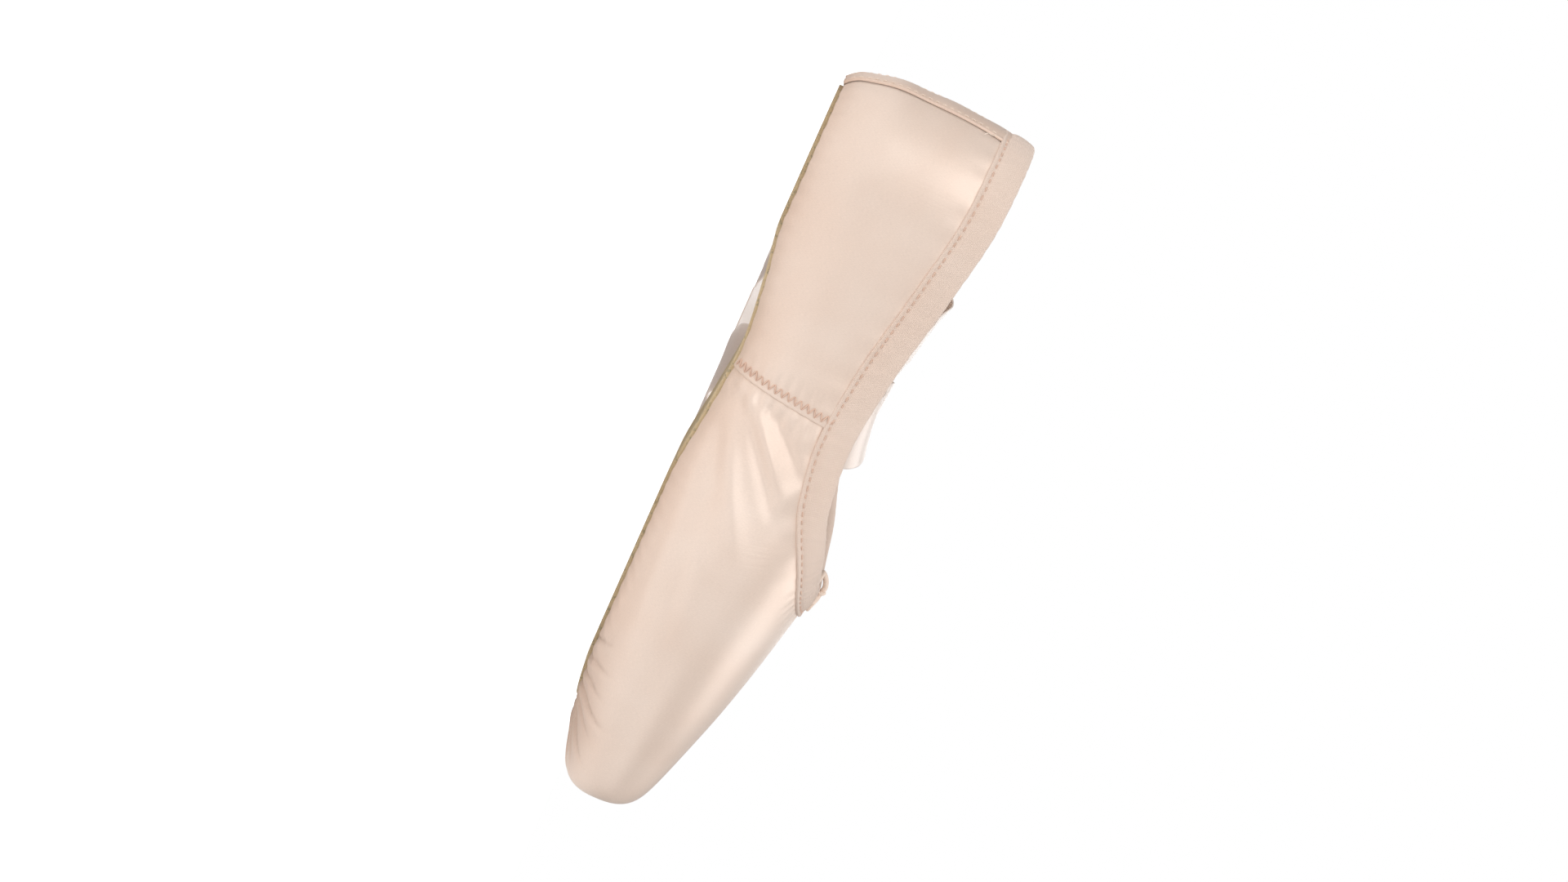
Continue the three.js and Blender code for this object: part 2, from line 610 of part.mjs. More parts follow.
function drawstringKnot([low, high]) {
  const up = high.point.clone().sub(low.point).normalize();
  const normal = high.normal.clone();
  const side = new THREE.Vector3(0, 1, 0);
  const shift = new THREE.Vector3(-LENGTH / 2, 0, 0);
  const at = (across, along, out) =>
    high.point
      .clone()
      .add(shift)
      .addScaledVector(side, across)
      .addScaledVector(up, along)
      .addScaledVector(normal, out);
  const clear = GAP + BINDING_TAPE + GAP + STRING / 2;
  const middle = -wallAt(high.point.x) / 2;
  const archPoints = ARCH_PLACES.map((u) =>
    at((u * ARCH_WIDTH) / 2, clear + ARCH_RISE * (1 - u * u), middle),
  );
  const archPath = new THREE.CatmullRomCurve3(archPoints);
  const tiePath = new THREE.CatmullRomCurve3([
    at(0, clear + ARCH_RISE, middle),
    at(0, clear + ARCH_RISE / 2, 0.7 * clear),
    at(0, -KNOT_LENGTH / 4, clear + KNOT_SINK),
  ]);
  const circle = new THREE.Shape();
  circle.absarc(0, 0, STRING / 2, 0, 2 * Math.PI, false);
  const tube = (extrudePath, steps) => {
    const shape = { steps, extrudePath, curveSegments: STRING_SIDES, bevelEnabled: false };
    return solid(new THREE.ExtrudeGeometry(circle, shape));
  };
  const knot = new THREE.SphereGeometry(1, 12, 8);
  const centre = at(0, -KNOT_LENGTH / 2, clear - STRING / 2 + KNOT_HEIGHT / 2);
  knot.applyMatrix4(
    new THREE.Matrix4()
      .makeBasis(
        side.clone().multiplyScalar(KNOT_WIDTH / 2),
        up.clone().multiplyScalar(KNOT_LENGTH / 2),
        side.clone().cross(up).multiplyScalar(KNOT_HEIGHT / 2),
      )
      .setPosition(centre),
  );
  return geometryFrom(tube(archPath, 12).add(tube(tiePath, 6)).add(solid(knot)));
}

// ---------------------------------------------------------------- the shoe
const group = new THREE.Group();
function add(name, geometry, color, roughness) {
  const mesh = new THREE.Mesh(geometry, new THREE.MeshStandardMaterial({ color, roughness, metalness: 0 }));
  mesh.name = name;
  group.add(mesh);
}

const upperSections = planes.map((plane, i) => upperSection(plane, meridians[i]));
const bindingSections = meridians.map((section) => bindingSection(section.slice(-2)));

add("upper", loft(wholeLoop(upperSections), { ring: true, flip: true }), 0xefd6c4, 0.35);
add("outsole", soleSlab(0, 0, SOLE_THICKNESS), 0xdcc79a, 0.95);
add("insole", soleSlab(INSOLE_MARGIN, INSOLE_BOTTOM, INSOLE_BOTTOM + INSOLE_THICKNESS), 0xe6dccb, 0.9);
add("collar_binding", loft(wholeLoop(bindingSections), { ring: true }), 0xecd6c4, 0.8);
add("drawstring_knot", drawstringKnot(meridians[0].slice(-2)), 0xf2e2cc, 0.8);
add("ribbon_medial", ribbon(RIBBON_MEDIAL), 0xf0ded3, 0.4);
add("ribbon_lateral", ribbon(RIBBON_LATERAL), 0xf0ded3, 0.4);

export default group;
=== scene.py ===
"""A satin pointe shoe, standing empty on its outsole with its ribbons loose beside it.

Lengths are millimetres along the shoe, measured from the back of the heel, until to_row() turns them into
metres in the row frame. +X is towards the toe, +Y the wearer's left and +Z up.
"""
import math

import bpy
import numpy as np
from mathutils import Matrix, Vector


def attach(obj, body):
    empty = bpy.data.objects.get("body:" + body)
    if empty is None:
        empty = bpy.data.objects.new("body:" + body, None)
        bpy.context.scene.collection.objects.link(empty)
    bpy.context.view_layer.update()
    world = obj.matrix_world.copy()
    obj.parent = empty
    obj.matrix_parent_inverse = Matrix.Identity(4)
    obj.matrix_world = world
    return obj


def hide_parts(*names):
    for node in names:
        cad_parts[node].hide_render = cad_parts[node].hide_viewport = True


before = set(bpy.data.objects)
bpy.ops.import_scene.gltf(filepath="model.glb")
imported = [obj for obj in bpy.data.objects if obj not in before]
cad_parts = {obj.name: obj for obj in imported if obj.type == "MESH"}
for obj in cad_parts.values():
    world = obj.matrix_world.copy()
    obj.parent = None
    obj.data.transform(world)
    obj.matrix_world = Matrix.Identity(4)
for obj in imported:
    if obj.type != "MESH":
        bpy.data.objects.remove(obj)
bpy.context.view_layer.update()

# ---------------------------------------------------------------- sizes, as in the part's source
LENGTH = 230.0
SOLE_THICKNESS = 2.4
GAP = 0.3
CANVAS_WALL = 1.8
BOX_WALL = 2.6
BOX_START, BOX_FULL = 118.0, 152.0
SOLE_HEEL_END, SOLE_TOE_END = 8.0, 207.0
SOLE_HEEL_ROUND, SOLE_TOE_ROUND = 20.0, 44.0
FEATHER, FEATHER_DROP = 2.2, 1.2
RIBBON_WIDTH = 22.0
HEEL_ROUND = 30.0
TOE_START, TOE_SHARPNESS, TOE_EDGE = 150.0, 30, 5
PLAN_POWER, UNDER_POWER = 2.2, 2.3
TOE_HUB, HEEL_HUB = 120.0, 30.0

# at, half width, widest level, crown, power
LAST = [
    (0, 26.5, 22, 86, 2.6),
    (30, 27.2, 22, 84, 2.6),
    (60, 26.2, 22, 76, 2.5),
    (90, 26.6, 21.5, 66, 2.4),
    (120, 31.2, 20.5, 58.5, 2.3),
    (148, 36.4, 19.5, 54, 2.3),
    (170, 37.4, 19, 49.5, 2.3),
    (190, 35.2, 18.5, 44.5, 2.4),
    (210, 29.8, 18.3, 38.5, 2.5),
    (230, 23, 18.5, 32, 2.6),
]
# at, lift
UNDERSIDE = [
    (0, 0), (46, 0), (66, 2.6), (86, 4.4), (108, 2.4), (130, 0), (184, 0), (198, 0.8), (212, 2.6), (230, 6),
]
# at, half width
SOLE_OUTLINE = [(0, 18), (28, 19), (60, 17), (88, 16), (120, 21), (150, 25.5), (172, 26), (208, 22)]
# at, height
COLLAR = [
    (0, 58), (22, 57), (50, 52.5), (78, 47), (102, 44.5), (118, 46), (134, 50.8), (148, 54.2), (160, 62),
]

# Ribbon routes: x, y, height of the lower edge, plan direction of the width, slope of the width. A row that
# leaves out the height lies on the floor.
ON_FLOOR = 0.7
RIBBON_MEDIAL = [
    (98.5, -22, 26, 0, 6), (97.5, -21.3, 35, 0, 6), (96, -19, 44, 2, 6), (93, -14, 48, 12, 4),
    (87, -5, 47.6, 24, -2), (79, 6, 48, 24, -7), (71.5, 16, 50.6, 14, -11),
    (67, 23.4, 51.8, 5, -11), (64.6, 28.6, 47, 2, -10), (63.4, 30.4, 37, 0, -5),
    (62.4, 30.8, 24, 0, 0), (61.4, 32, 10, 0, 0), (60, 36.4, 3, 4, 0), (58, 47, 8, 0),
    (55, 62, 6, 6), (57, 78, -18, 24), (70, 90, -60, 20), (91, 93, -78, -4), (108, 101, -45, -26),
    (112, 118, 5, -40), (100, 132, 60, -24), (78, 135, 88, -4), (56, 138, 76, 10),
    (42, 150, 28, 32), (43, 168, -20, 36), (58, 179, -66, 18), (80, 181, -86, 0),
    (102, 183, -82, 0), (124, 188, -78, 0), (146, 192, -80, 0), (162, 194, -82, 0),
]
RIBBON_LATERAL = [
    (97, 22, 27, 0, 0), (97, 21.3, 36, 0, -1), (97, 19, 43.6, 0, -3), (97.2, 19.8, 47.8, 0, -4),
    (97.6, 24.4, 49, 0, -4), (98.2, 28.4, 45, 0, -3), (99, 30.2, 36, 0, 0), (100, 31.4, 22, 0, 0),
    (101, 33.4, 9, -4, 0), (103, 38.6, 3, -14, 0), (108, 47, -30, 0), (119, 57, -54, 8),
    (137, 62, -80, 6), (160, 63, -90, 0), (184, 62, -88, -2), (205, 66, -60, -22),
    (217, 80, -5, -42), (211, 96, 45, -30), (192, 103, 80, -6), (169, 103, 88, 4),
    (151, 107, 62, 22), (143, 120, 5, 38), (147, 136, -36, 24), (163, 145, -72, 4),
    (185, 147, -88, 0), (207, 148, -82, -4), (226, 155, -50, -18), (236, 170, -8, -30),
    (233, 187, 26, -18), (222, 201, 48, 0), (205, 209, 68, 0), (187, 213, 78, 0),
]


# ---------------------------------------------------------------- small tools
def to_row(points):
    """Millimetres from the heel's back to metres in the row frame."""
    p = np.array(points, float) * 0.001
    p[..., 0] -= LENGTH * 0.0005
    return p


def column(table, index):
    """A smooth curve through one column of a table, which keeps level stretches level."""
    at = np.array([row[0] for row in table], float)
    value = np.array([row[index] for row in table], float)
    slope = np.diff(value) / np.diff(at)
    tangent = np.zeros(len(at))
    tangent[0], tangent[-1] = slope[0], slope[-1]
    for i in range(1, len(slope)):
        if slope[i - 1] * slope[i] > 0:
            tangent[i] = 2 * slope[i - 1] * slope[i] / (slope[i - 1] + slope[i])

    def curve(x):
        x = np.asarray(x, float)
        k = np.clip(np.searchsorted(at, x, side="right") - 1, 0, len(at) - 2)
        span = at[k + 1] - at[k]
        t = np.clip((x - at[k]) / span, 0, 1)
        return (
            value[k] * (1 + 2 * t) * (1 - t) ** 2
            + value[k + 1] * t * t * (3 - 2 * t)
            + span * t * (1 - t) * (tangent[k] * (1 - t) - tangent[k + 1] * t)
        )

    return curve


last_half_width, last_widest, last_crown, last_power = (column(LAST, i) for i in (1, 2, 3, 4))
underside = column(UNDERSIDE, 1)
sole_width = column(SOLE_OUTLINE, 1)
collar_height = column(COLLAR, 1)


def smooth_step(low, high, x):
    t = np.clip((np.asarray(x, float) - low) / (high - low), 0, 1)
    return t * t * (3 - 2 * t)


def bump(x, middle, width):
    """A soft ridge: 1 at the middle, falling away over the width."""
    return np.exp(-(((np.asarray(x, float) - middle) / width) ** 2))


def unit(v):
    return v / np.maximum(np.linalg.norm(v, axis=-1, keepdims=True), 1e-12)


def lengths_along(points):
    """How far each point is along the line through all of them."""
    return np.concatenate([[0], np.cumsum(np.linalg.norm(np.diff(points, axis=0), axis=1))])


def places_at(distance, along, points):
    """The points at distances along a line whose own points lie that far along."""
    return np.stack([np.interp(distance, along, points[:, k]) for k in range(3)], axis=-1)


def wall_at(x):
    return CANVAS_WALL + (BOX_WALL - CANVAS_WALL) * smooth_step(BOX_START, BOX_FULL, x)


def outline_at(x, margin=0.0):
    """Half the width of the outsole's outline, grown all round by a margin."""
    x = np.asarray(x, float)
    heel_end, toe_end = SOLE_HEEL_END - margin, SOLE_TOE_END + margin
    heel = np.clip((heel_end + SOLE_HEEL_ROUND - x) / SOLE_HEEL_ROUND, 0, 1)
    toe = np.clip((x - toe_end + SOLE_TOE_ROUND) / SOLE_TOE_ROUND, 0, 1)
    return (sole_width(x) + margin) * np.sqrt(1 - heel**2) * np.sqrt(1 - toe**2)


def sole_top(x):
    return underside(x) + SOLE_THICKNESS


# ---------------------------------------------------------------- the last
def plan_radius(x, y):
    heel = np.maximum(0, (HEEL_ROUND - x) / HEEL_ROUND)
    return (np.abs(y / last_half_width(x)) ** PLAN_POWER + heel**PLAN_POWER) ** (1 / PLAN_POWER)


def keel_depth(x):
    at = np.clip(x, SOLE_HEEL_END - FEATHER, SOLE_TOE_END + FEATHER)
    edge = plan_radius(at, outline_at(at, FEATHER))
    depth = last_widest(x) - sole_top(x) + FEATHER_DROP
    return depth / (1 - edge**UNDER_POWER) ** (1 / UNDER_POWER)


def last_level(p):
    """Below 0 inside the last, above 0 outside it."""
    x, y, z = p[..., 0], p[..., 1], p[..., 2]
    rise = z - last_widest(x)
    power = np.where(rise > 0, last_power(x), UNDER_POWER)
    height = np.where(rise > 0, last_crown(x) - last_widest(x), keel_depth(x))
    section = (plan_radius(x, y) ** power + np.abs(rise / height) ** power) ** (1 / power)
    toe = np.maximum(0, (x - TOE_START) / (LENGTH - TOE_START))
    return section**TOE_EDGE + toe**TOE_SHARPNESS - 1


def last_slope(p):
    e = 1e-3
    slope = [last_level(p + e * np.eye(3)[i]) - last_level(p - e * np.eye(3)[i]) for i in range(3)]
    return np.stack(slope, axis=-1) / (2 * e)


def onto_last(p):
    for _ in range(4):
        slope = last_slope(p)
        p = p - slope * (last_level(p) / (slope**2).sum(axis=-1))[..., None]
    return p


HALVINGS = 26
LONGEST_RAY, LONGEST_SOLE_RAY = 160.0, 120.0
OUTSIDE = [100.0, 0, 400.0]  # a point well off the last
HALF_PLANES = 220
ROWS = 150
RAYS = 420
LOWEST_RAY, HIGHEST_RAY = -1.8, 2.8
RAY_START = 0.55  # where the rays start, as a share of the way out to the widest line


def in_plane(hub, turn, r, z):
    x = hub + r * np.cos(turn)
    return np.stack(np.broadcast_arrays(x, r * np.sin(turn), z), axis=-1)


def edge_of(inside, far):
    """Halves each stretch from 0 to far, down to the distance where inside() stops being true."""
    near = np.zeros(far.shape)
    for _ in range(HALVINGS):
        middle = (near + far) / 2
        within = inside(middle)
        near, far = np.where(within, middle, near), np.where(within, far, middle)
    return near


def cast(hub, turn, r, z, angle):
    """Distance from (r, z) in each vertical plane to the last's surface along a ray."""
    def inside(distance):
        p = in_plane(hub, turn, r + distance * np.cos(angle), z + distance * np.sin(angle))
        within = (p[..., 0] >= 0) & (p[..., 0] <= LENGTH)
        return within & (last_level(np.where(within[..., None], p, [OUTSIDE])) <= 0)

    shape = np.broadcast_shapes(hub.shape, angle.shape, np.shape(r), np.shape(z))
    return edge_of(inside, np.full(shape, LONGEST_RAY))


def half_planes():
    """Planes evenly spaced along the widest line of one side of the last, from the toe to the heel."""
    fine = 400
    quarter = np.linspace(0, 1, fine + 1)
    between_hubs = TOE_HUB + quarter[1:-1] * (HEEL_HUB - TOE_HUB)
    hub = np.concatenate([np.full(fine + 1, TOE_HUB), between_hubs, np.full(fine + 1, HEEL_HUB)])
    turn = np.concatenate([
        quarter * math.pi / 2, np.full(fine - 1, math.pi / 2), (1 + quarter) * math.pi / 2,
    ])
    reach = cast(hub, turn, 0.0, last_widest(hub), np.zeros(len(hub)))
    rim = in_plane(hub, turn, reach, 0.0)
    along = lengths_along(rim)
    want = np.linspace(0, along[-1], HALF_PLANES + 1)
    return np.interp(want, along, hub), np.interp(want, along, turn), want


def sole_radius(hub, turn, margin):
    """Radius in each plane where the outsole's outline, grown by a margin, crosses it."""
    def inside(radius):
        p = in_plane(hub, turn, radius, 0.0)
        return outline_at(p[:, 0], margin) > np.abs(p[:, 1]) + 1e-9

    return edge_of(inside, np.full(len(hub), LONGEST_SOLE_RAY))


def last_grid():
    """Points on one side of the last, a row for each plane and a column for each height up to the collar."""
    hub, turn, around = half_planes()
    level = last_widest(hub)
    middle = RAY_START * cast(hub, turn, 0.0, level, np.zeros(len(hub)))
    feather = sole_radius(hub, turn, FEATHER)
    angle = np.linspace(LOWEST_RAY, HIGHEST_RAY, RAYS)[None, :]
    reach = cast(hub[:, None], turn[:, None], middle[:, None], level[:, None], angle)
    r = middle[:, None] + reach * np.cos(angle)
    z = level[:, None] + reach * np.sin(angle)
    points = in_plane(hub[:, None], turn[:, None], r, z)
    grid, lengths = [], []
    for i in range(len(hub)):
        start = np.argmax(~((z[i] < level[i]) & (r[i] < feather[i])))
        over = points[i, :, 2] - collar_height(points[i, :, 0])
        end = start + np.argmax(over[start:] > 0)
        part = over[end - 1] / (over[end - 1] - over[end])
        first = in_plane(hub[i], turn[i], feather[i], z[i, start])
        last = points[i, end - 1] + part * (points[i, end] - points[i, end - 1])
        trace = np.vstack([first, points[i, start:end], last])
        along = lengths_along(trace)
        want = np.linspace(0, along[-1], ROWS + 1)
        grid.append(places_at(want, along, trace))
        lengths.append(along[-1])
    return onto_last(np.array(grid)), np.array(lengths), around, hub, turn


GRID, HEIGHTS, AROUND, HUBS, TURNS = last_grid()
SHARES = np.linspace(0, 1, HALF_PLANES + 1)
NEAR_SIDE = -1.0  # the medial side of a left shoe


def share_and_side(s):
    """Places round the shoe as a share of the way from toe to heel, and the side: -1 near, 1 far."""
    wrapped = (np.asarray(s, float) + 1) % 2 - 1
    return np.abs(wrapped), np.where(wrapped < 0, -1.0, 1.0)


class Skin:
    """The last's surface at places (s, v). s runs round the shoe: 0 at the toe, 1 at the heel, negative on
    the near side. v runs from 0 at the feather edge to 1 at the collar."""

    def __init__(self, s, v):
        s, v = np.broadcast_arrays(np.asarray(s, float), np.asarray(v, float))
        share, side = share_and_side(s)
        i = np.clip(share * HALF_PLANES, 0, HALF_PLANES - 1e-6)
        k = np.clip(v * ROWS, 0, ROWS - 1e-6)
        i0, k0 = i.astype(int), k.astype(int)
        a, b = (i - i0)[..., None], (k - k0)[..., None]
        p = (
            GRID[i0, k0] * (1 - a) * (1 - b)
            + GRID[i0 + 1, k0] * a * (1 - b)
            + GRID[i0, k0 + 1] * (1 - a) * b
            + GRID[i0 + 1, k0 + 1] * a * b
        )
        p = onto_last(p)
        n = unit(last_slope(p))
        mirror = np.stack([np.ones_like(side), side, np.ones_like(side)], axis=-1)
        self.p, self.n = p * mirror, n * mirror
        self.height = np.interp(share, SHARES, HEIGHTS)
        self.above_sole = v * self.height
        self.below_collar = (1 - v) * self.height
        self.around = np.interp(share, SHARES, AROUND) * side
        self.x, self.y, self.z = (self.p[..., k] for k in range(3))

    def moved(self, out):
        return self.p + self.n * np.asarray(out)[..., None]


def seam_line(z):
    """Where the side seam runs: nearly upright, leaning a little to the toe."""
    return 92.0 + 6.0 * z / 45.0


def seam_place(v, shift=0.0):
    """s of the side seam at each v, moved along the shoe by a shift in millimetres."""
    v = np.atleast_1d(v)
    k = np.clip(v * ROWS, 0, ROWS - 1e-6)
    k0 = k.astype(int)
    b = (k - k0)[:, None, None]
    below, above = (GRID[:, row].transpose(1, 0, 2) for row in (k0, k0 + 1))
    line = below * (1 - b) + above * b
    ahead = line[..., 0] - seam_line(line[..., 2]) - shift
    return np.array([np.interp(0, -row, SHARES) for row in ahead])


# ---------------------------------------------------------------- meshes
def new_object(name, points, faces, material, uv=None):
    """A smooth mesh that rides the body. uv gives each point its place across and along the cloth."""
    mesh = bpy.data.meshes.new(name)
    mesh.from_pydata([tuple(p) for p in to_row(points).reshape(-1, 3)], [], [tuple(f) for f in faces])
    mesh.validate()
    if uv is not None:
        layer = mesh.uv_layers.new(name="Cloth")
        loops = np.zeros(len(mesh.loops), np.int32)
        mesh.loops.foreach_get("vertex_index", loops)
        layer.data.foreach_set("uv", np.stack(uv, axis=-1).reshape(-1, 2).astype(np.float32)[loops].ravel())
    mesh.polygons.foreach_set("use_smooth", [True] * len(mesh.polygons))
    obj = bpy.data.objects.new(name, mesh)
    bpy.context.scene.collection.objects.link(obj)
    mesh.materials.append(material)
    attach(obj, "root")
    return obj


def grid_faces(rows, columns, close_columns=False, flip=False):
    i = np.arange(rows - 1)[:, None]
    k = np.arange(columns if close_columns else columns - 1)[None, :]
    a = i * columns + k
    b = i * columns + (k + 1) % columns
    c = (i + 1) * columns + (k + 1) % columns
    d = (i + 1) * columns + k
    quads = np.stack(np.broadcast_arrays(a, b, c, d), axis=-1).reshape(-1, 4)
    return quads[:, ::-1] if flip else quads


def grid_object(name, points, material, uv=None, flip=False, **closing):
    rows, columns = points.shape[:2]
    faces = grid_faces(rows, columns, flip=flip, **closing)
    return new_object(name, points, faces, material, uv)


def capped_faces(rows, columns):
    """The faces of a closed tube: its sides, and one face over each end."""
    faces = [tuple(f) for f in grid_faces(rows, columns, close_columns=True)]
    faces.append(tuple(range(columns))[::-1])
    faces.append(tuple((rows - 1) * columns + k for k in range(columns)))
    return faces


TUBE_END = 0.35  # an end ring's radius, as a share of the tube's


def tube_parts(path, radius, sides=6, across=None):
    """Vertices and faces of one closed tube along a path, with rounded ends."""
    path = np.asarray(path, float)
    tangent = unit(np.gradient(path, axis=0))
    ref = np.array([0, 0, 1.0]) if across is None else np.asarray(across, float)
    side = np.cross(tangent, ref)
    weak = np.linalg.norm(side, axis=1) < 1e-3
    side[weak] = np.cross(tangent[weak], [0.3, 1.0, 0.2])
    side = unit(side)
    up = np.cross(side, tangent)
    turn = np.linspace(0, 2 * math.pi, sides, endpoint=False)
    size = np.full(len(path), radius)
    size[0] = size[-1] = radius * TUBE_END
    ring = side[:, None] * np.cos(turn)[None, :, None] + up[:, None] * np.sin(turn)[None, :, None]
    verts = (path[:, None] + ring * size[:, None, None]).reshape(-1, 3)
    return verts, capped_faces(len(path), sides)


def joined_tubes(name, parts, material):
    verts, faces, base = [], [], 0
    for v, f in parts:
        verts.append(v)
        faces += [tuple(base + i for i in face) for face in f]
        base += len(v)
    return new_object(name, np.vstack(verts), faces, material)


def stitch_row(points, normals, standing, length, gap, radius, waver=0.0):
    """Running stitches along a line of points: each a short thread that dips in at both ends."""
    along = lengths_along(points)
    parts = []
    at = gap
    number = 0
    while at + length < along[-1]:
        number += 1
        t = np.linspace(at, at + length * (1 + waver * math.sin(number * 2.3)), 6)
        p = places_at(t, along, points)
        n = unit(places_at(t, along, normals))
        lift = standing - radius * 1.6 * np.array([1, 0.25, 0, 0, 0.25, 1])
        parts.append(tube_parts(p + n * lift[:, None], radius, 6, across=n[2]))
        at += length + gap
    return parts


# ---------------------------------------------------------------- materials
def srgb(r, g, b):
    """A colour written as it looks, 0 to 255, as linear numbers."""
    def linear(c):
        c = c / 255
        return c / 12.92 if c <= 0.04045 else ((c + 0.055) / 1.055) ** 2.4
    return (linear(r), linear(g), linear(b), 1.0)


WHITE = (1, 1, 1, 1)


class Nodes:
    """A material under construction: a Principled shader and short ways to add nodes."""

    def __init__(self, name, roughness, **constants):
        self.material = bpy.data.materials.new(name)
        self.material.use_nodes = True
        self.tree = self.material.node_tree
        self.shader = self.tree.nodes["Principled BSDF"]
        self.plug(self.shader, {"Roughness": roughness})
        self.plug(self.shader, {socket.replace("_", " "): value for socket, value in constants.items()})

    def add(self, kind, inputs=(), **settings):
        node = self.tree.nodes.new("ShaderNode" + kind)
        for key, value in settings.items():
            setattr(node, key, value)
        return self.plug(node, dict(inputs))

    def plug(self, node, inputs):
        """Links each value that is another node's socket, and sets each one that is a constant."""
        for key, value in inputs.items():
            if isinstance(value, bpy.types.NodeSocket):
                self.tree.links.new(value, node.inputs[key])
            else:
                node.inputs[key].default_value = value
        return node

    def cloth(self, stretch=(1, 1, 1)):
        """Places on the cloth in millimetres, stretched."""
        uv = self.add("UVMap", uv_map="Cloth")
        return self.add("Mapping", {"Vector": uv.outputs[0], "Scale": stretch}).outputs[0]

    def space(self, scale):
        where = self.add("TexCoord").outputs["Object"]
        return self.add("Mapping", {"Vector": where, "Scale": (scale, scale, scale)}).outputs[0]

    def noise(self, where, detail, roughness=0.5):
        inputs = {"Vector": where, "Scale": 1.0, "Detail": detail, "Roughness": roughness}
        return self.add("TexNoise", inputs).outputs[0]

    def ramp(self, value, low, high, low_colour, high_colour):
        node = self.add("ValToRGB", {"Fac": value})
        first, second = node.color_ramp.elements
        first.position, second.position = low, high
        first.color, second.color = low_colour, high_colour
        return node.outputs["Color"]

    def mix(self, factor, a, b, blend="MIX"):
        node = self.add("Mix", data_type="RGBA", blend_type=blend)
        return self.plug(node, {0: factor, 6: a, 7: b}).outputs[2]

    def math(self, operation, a, b=0.0):
        node = self.add("Math", operation=operation)
        return self.plug(node, {0: a, 1: b}).outputs[0]

    def shaded(self, colour, value, low, high, darkest):
        """The colour, darkened where the value is low."""
        return self.mix(1.0, colour, self.ramp(value, low, high, darkest, WHITE), "MULTIPLY")

    def finish(self, colour, height=None, depth=0.0001, strength=1.0, roughness=None):
        self.plug(self.shader, {"Base Color": colour})
        if height is not None:
            relief = self.add("Bump", {"Height": height, "Distance": depth, "Strength": strength})
            self.plug(self.shader, {"Normal": relief.outputs[0]})
        if roughness is not None:
            self.plug(self.shader, {"Roughness": roughness})
        return self.material


def between(m, value, low, high):
    """Maps 0..1 to low..high."""
    return m.add("MapRange", {"Value": value, "To Min": low, "To Max": high}).outputs[0]


def satin(name, light, dark, thread=(9.0, 1.1, 1.0), metal=0.18):
    """Satin: long shiny threads in one direction, a soft sheen and faint unevenness."""
    m = Nodes(
        name, 0.42, Metallic=metal, Sheen_Weight=0.15, Sheen_Roughness=0.35, Anisotropic=0.55,
        Specular_IOR_Level=0.6,
    )
    tangent = m.add("Tangent", direction_type="UV_MAP", uv_map="Cloth")
    m.plug(m.shader, {"Tangent": tangent.outputs[0]})
    threads = m.noise(m.cloth(thread), 2.0, 0.6)
    patches = m.noise(m.space(38.0), 3.0)
    slubs = m.noise(m.cloth((0.9, 0.06, 1)), 2.0)
    colour = m.mix(between(m, patches, -0.3, 1.3), dark, light)
    colour = m.shaded(colour, threads, 0.3, 0.7, (0.9, 0.895, 0.89, 1))
    height = m.math("ADD", m.math("MULTIPLY", threads, 0.6), m.math("MULTIPLY", slubs, 0.8))
    worn = m.math("ADD", m.math("MULTIPLY", threads, 0.5), m.math("MULTIPLY", patches, 0.5))
    rough = between(m, worn, 0.3, 0.47)
    return m.finish(colour, height, 0.00008, 0.6, rough)


def woven(name, light, dark, pitch, roughness=0.85, twill=0.0):
    """Plain or twill cotton: two crossing sets of threads, pitch millimetres apart."""
    m = Nodes(name, roughness, Sheen_Weight=0.2, Sheen_Roughness=0.5, Specular_IOR_Level=0.25)
    turn = 2 * math.pi / pitch
    uv = m.add("SeparateXYZ", {"Vector": m.cloth()})
    wobble = m.noise(m.cloth((0.5, 0.5, 1)), 2.0)
    u = m.math("ADD", m.math("MULTIPLY", uv.outputs[0], turn), m.math("MULTIPLY", wobble, 0.8))
    v = m.math("ADD", m.math("MULTIPLY", uv.outputs[1], turn), m.math("MULTIPLY", wobble, 0.6))
    across = m.math("SINE", m.math("ADD", u, m.math("MULTIPLY", v, twill)))
    along = m.math("SINE", v)
    if twill == 0:
        weave = m.math("MULTIPLY", across, along)
    else:
        weave = m.math("MAXIMUM", across, m.math("MULTIPLY", along, 0.4))
    patches = m.noise(m.space(60.0), 4.0)
    colour = m.mix(between(m, patches, -0.2, 1.2), dark, light)
    colour = m.shaded(colour, between(m, weave, 0.5, 1.0), 0.5, 1.0, (0.9, 0.88, 0.86, 1))
    return m.finish(colour, weave, 0.00012, 0.6)


def suede(name):
    """Buff suede: short nap, mottled, with grey-green specks."""
    m = Nodes(name, 0.95, Sheen_Weight=0.35, Sheen_Roughness=0.6, Specular_IOR_Level=0.15)
    nap = m.noise(m.space(1900.0), 3.0, 0.7)
    patches = m.noise(m.space(75.0), 4.0, 0.6)
    specks = m.noise(m.space(820.0), 1.5, 0.5)
    colour = m.mix(between(m, patches, -0.4, 1.4), srgb(232, 209, 168), srgb(247, 229, 193))
    spots = m.ramp(specks, 0.58, 0.66, (0, 0, 0, 1), WHITE)
    colour = m.mix(m.math("MULTIPLY", spots, 0.5), colour, srgb(160, 162, 138))
    colour = m.shaded(colour, nap, 0.3, 0.7, (0.86, 0.85, 0.83, 1))
    return m.finish(colour, m.math("ADD", nap, m.math("MULTIPLY", specks, 0.6)), 0.00025, 0.8)


def thread(name, colour, dark):
    m = Nodes(name, 0.6, Sheen_Weight=0.2, Specular_IOR_Level=0.4)
    twist = m.noise(m.space(2400.0), 2.0)
    return m.finish(m.mix(twist, dark, colour), twist, 0.0001, 0.6)


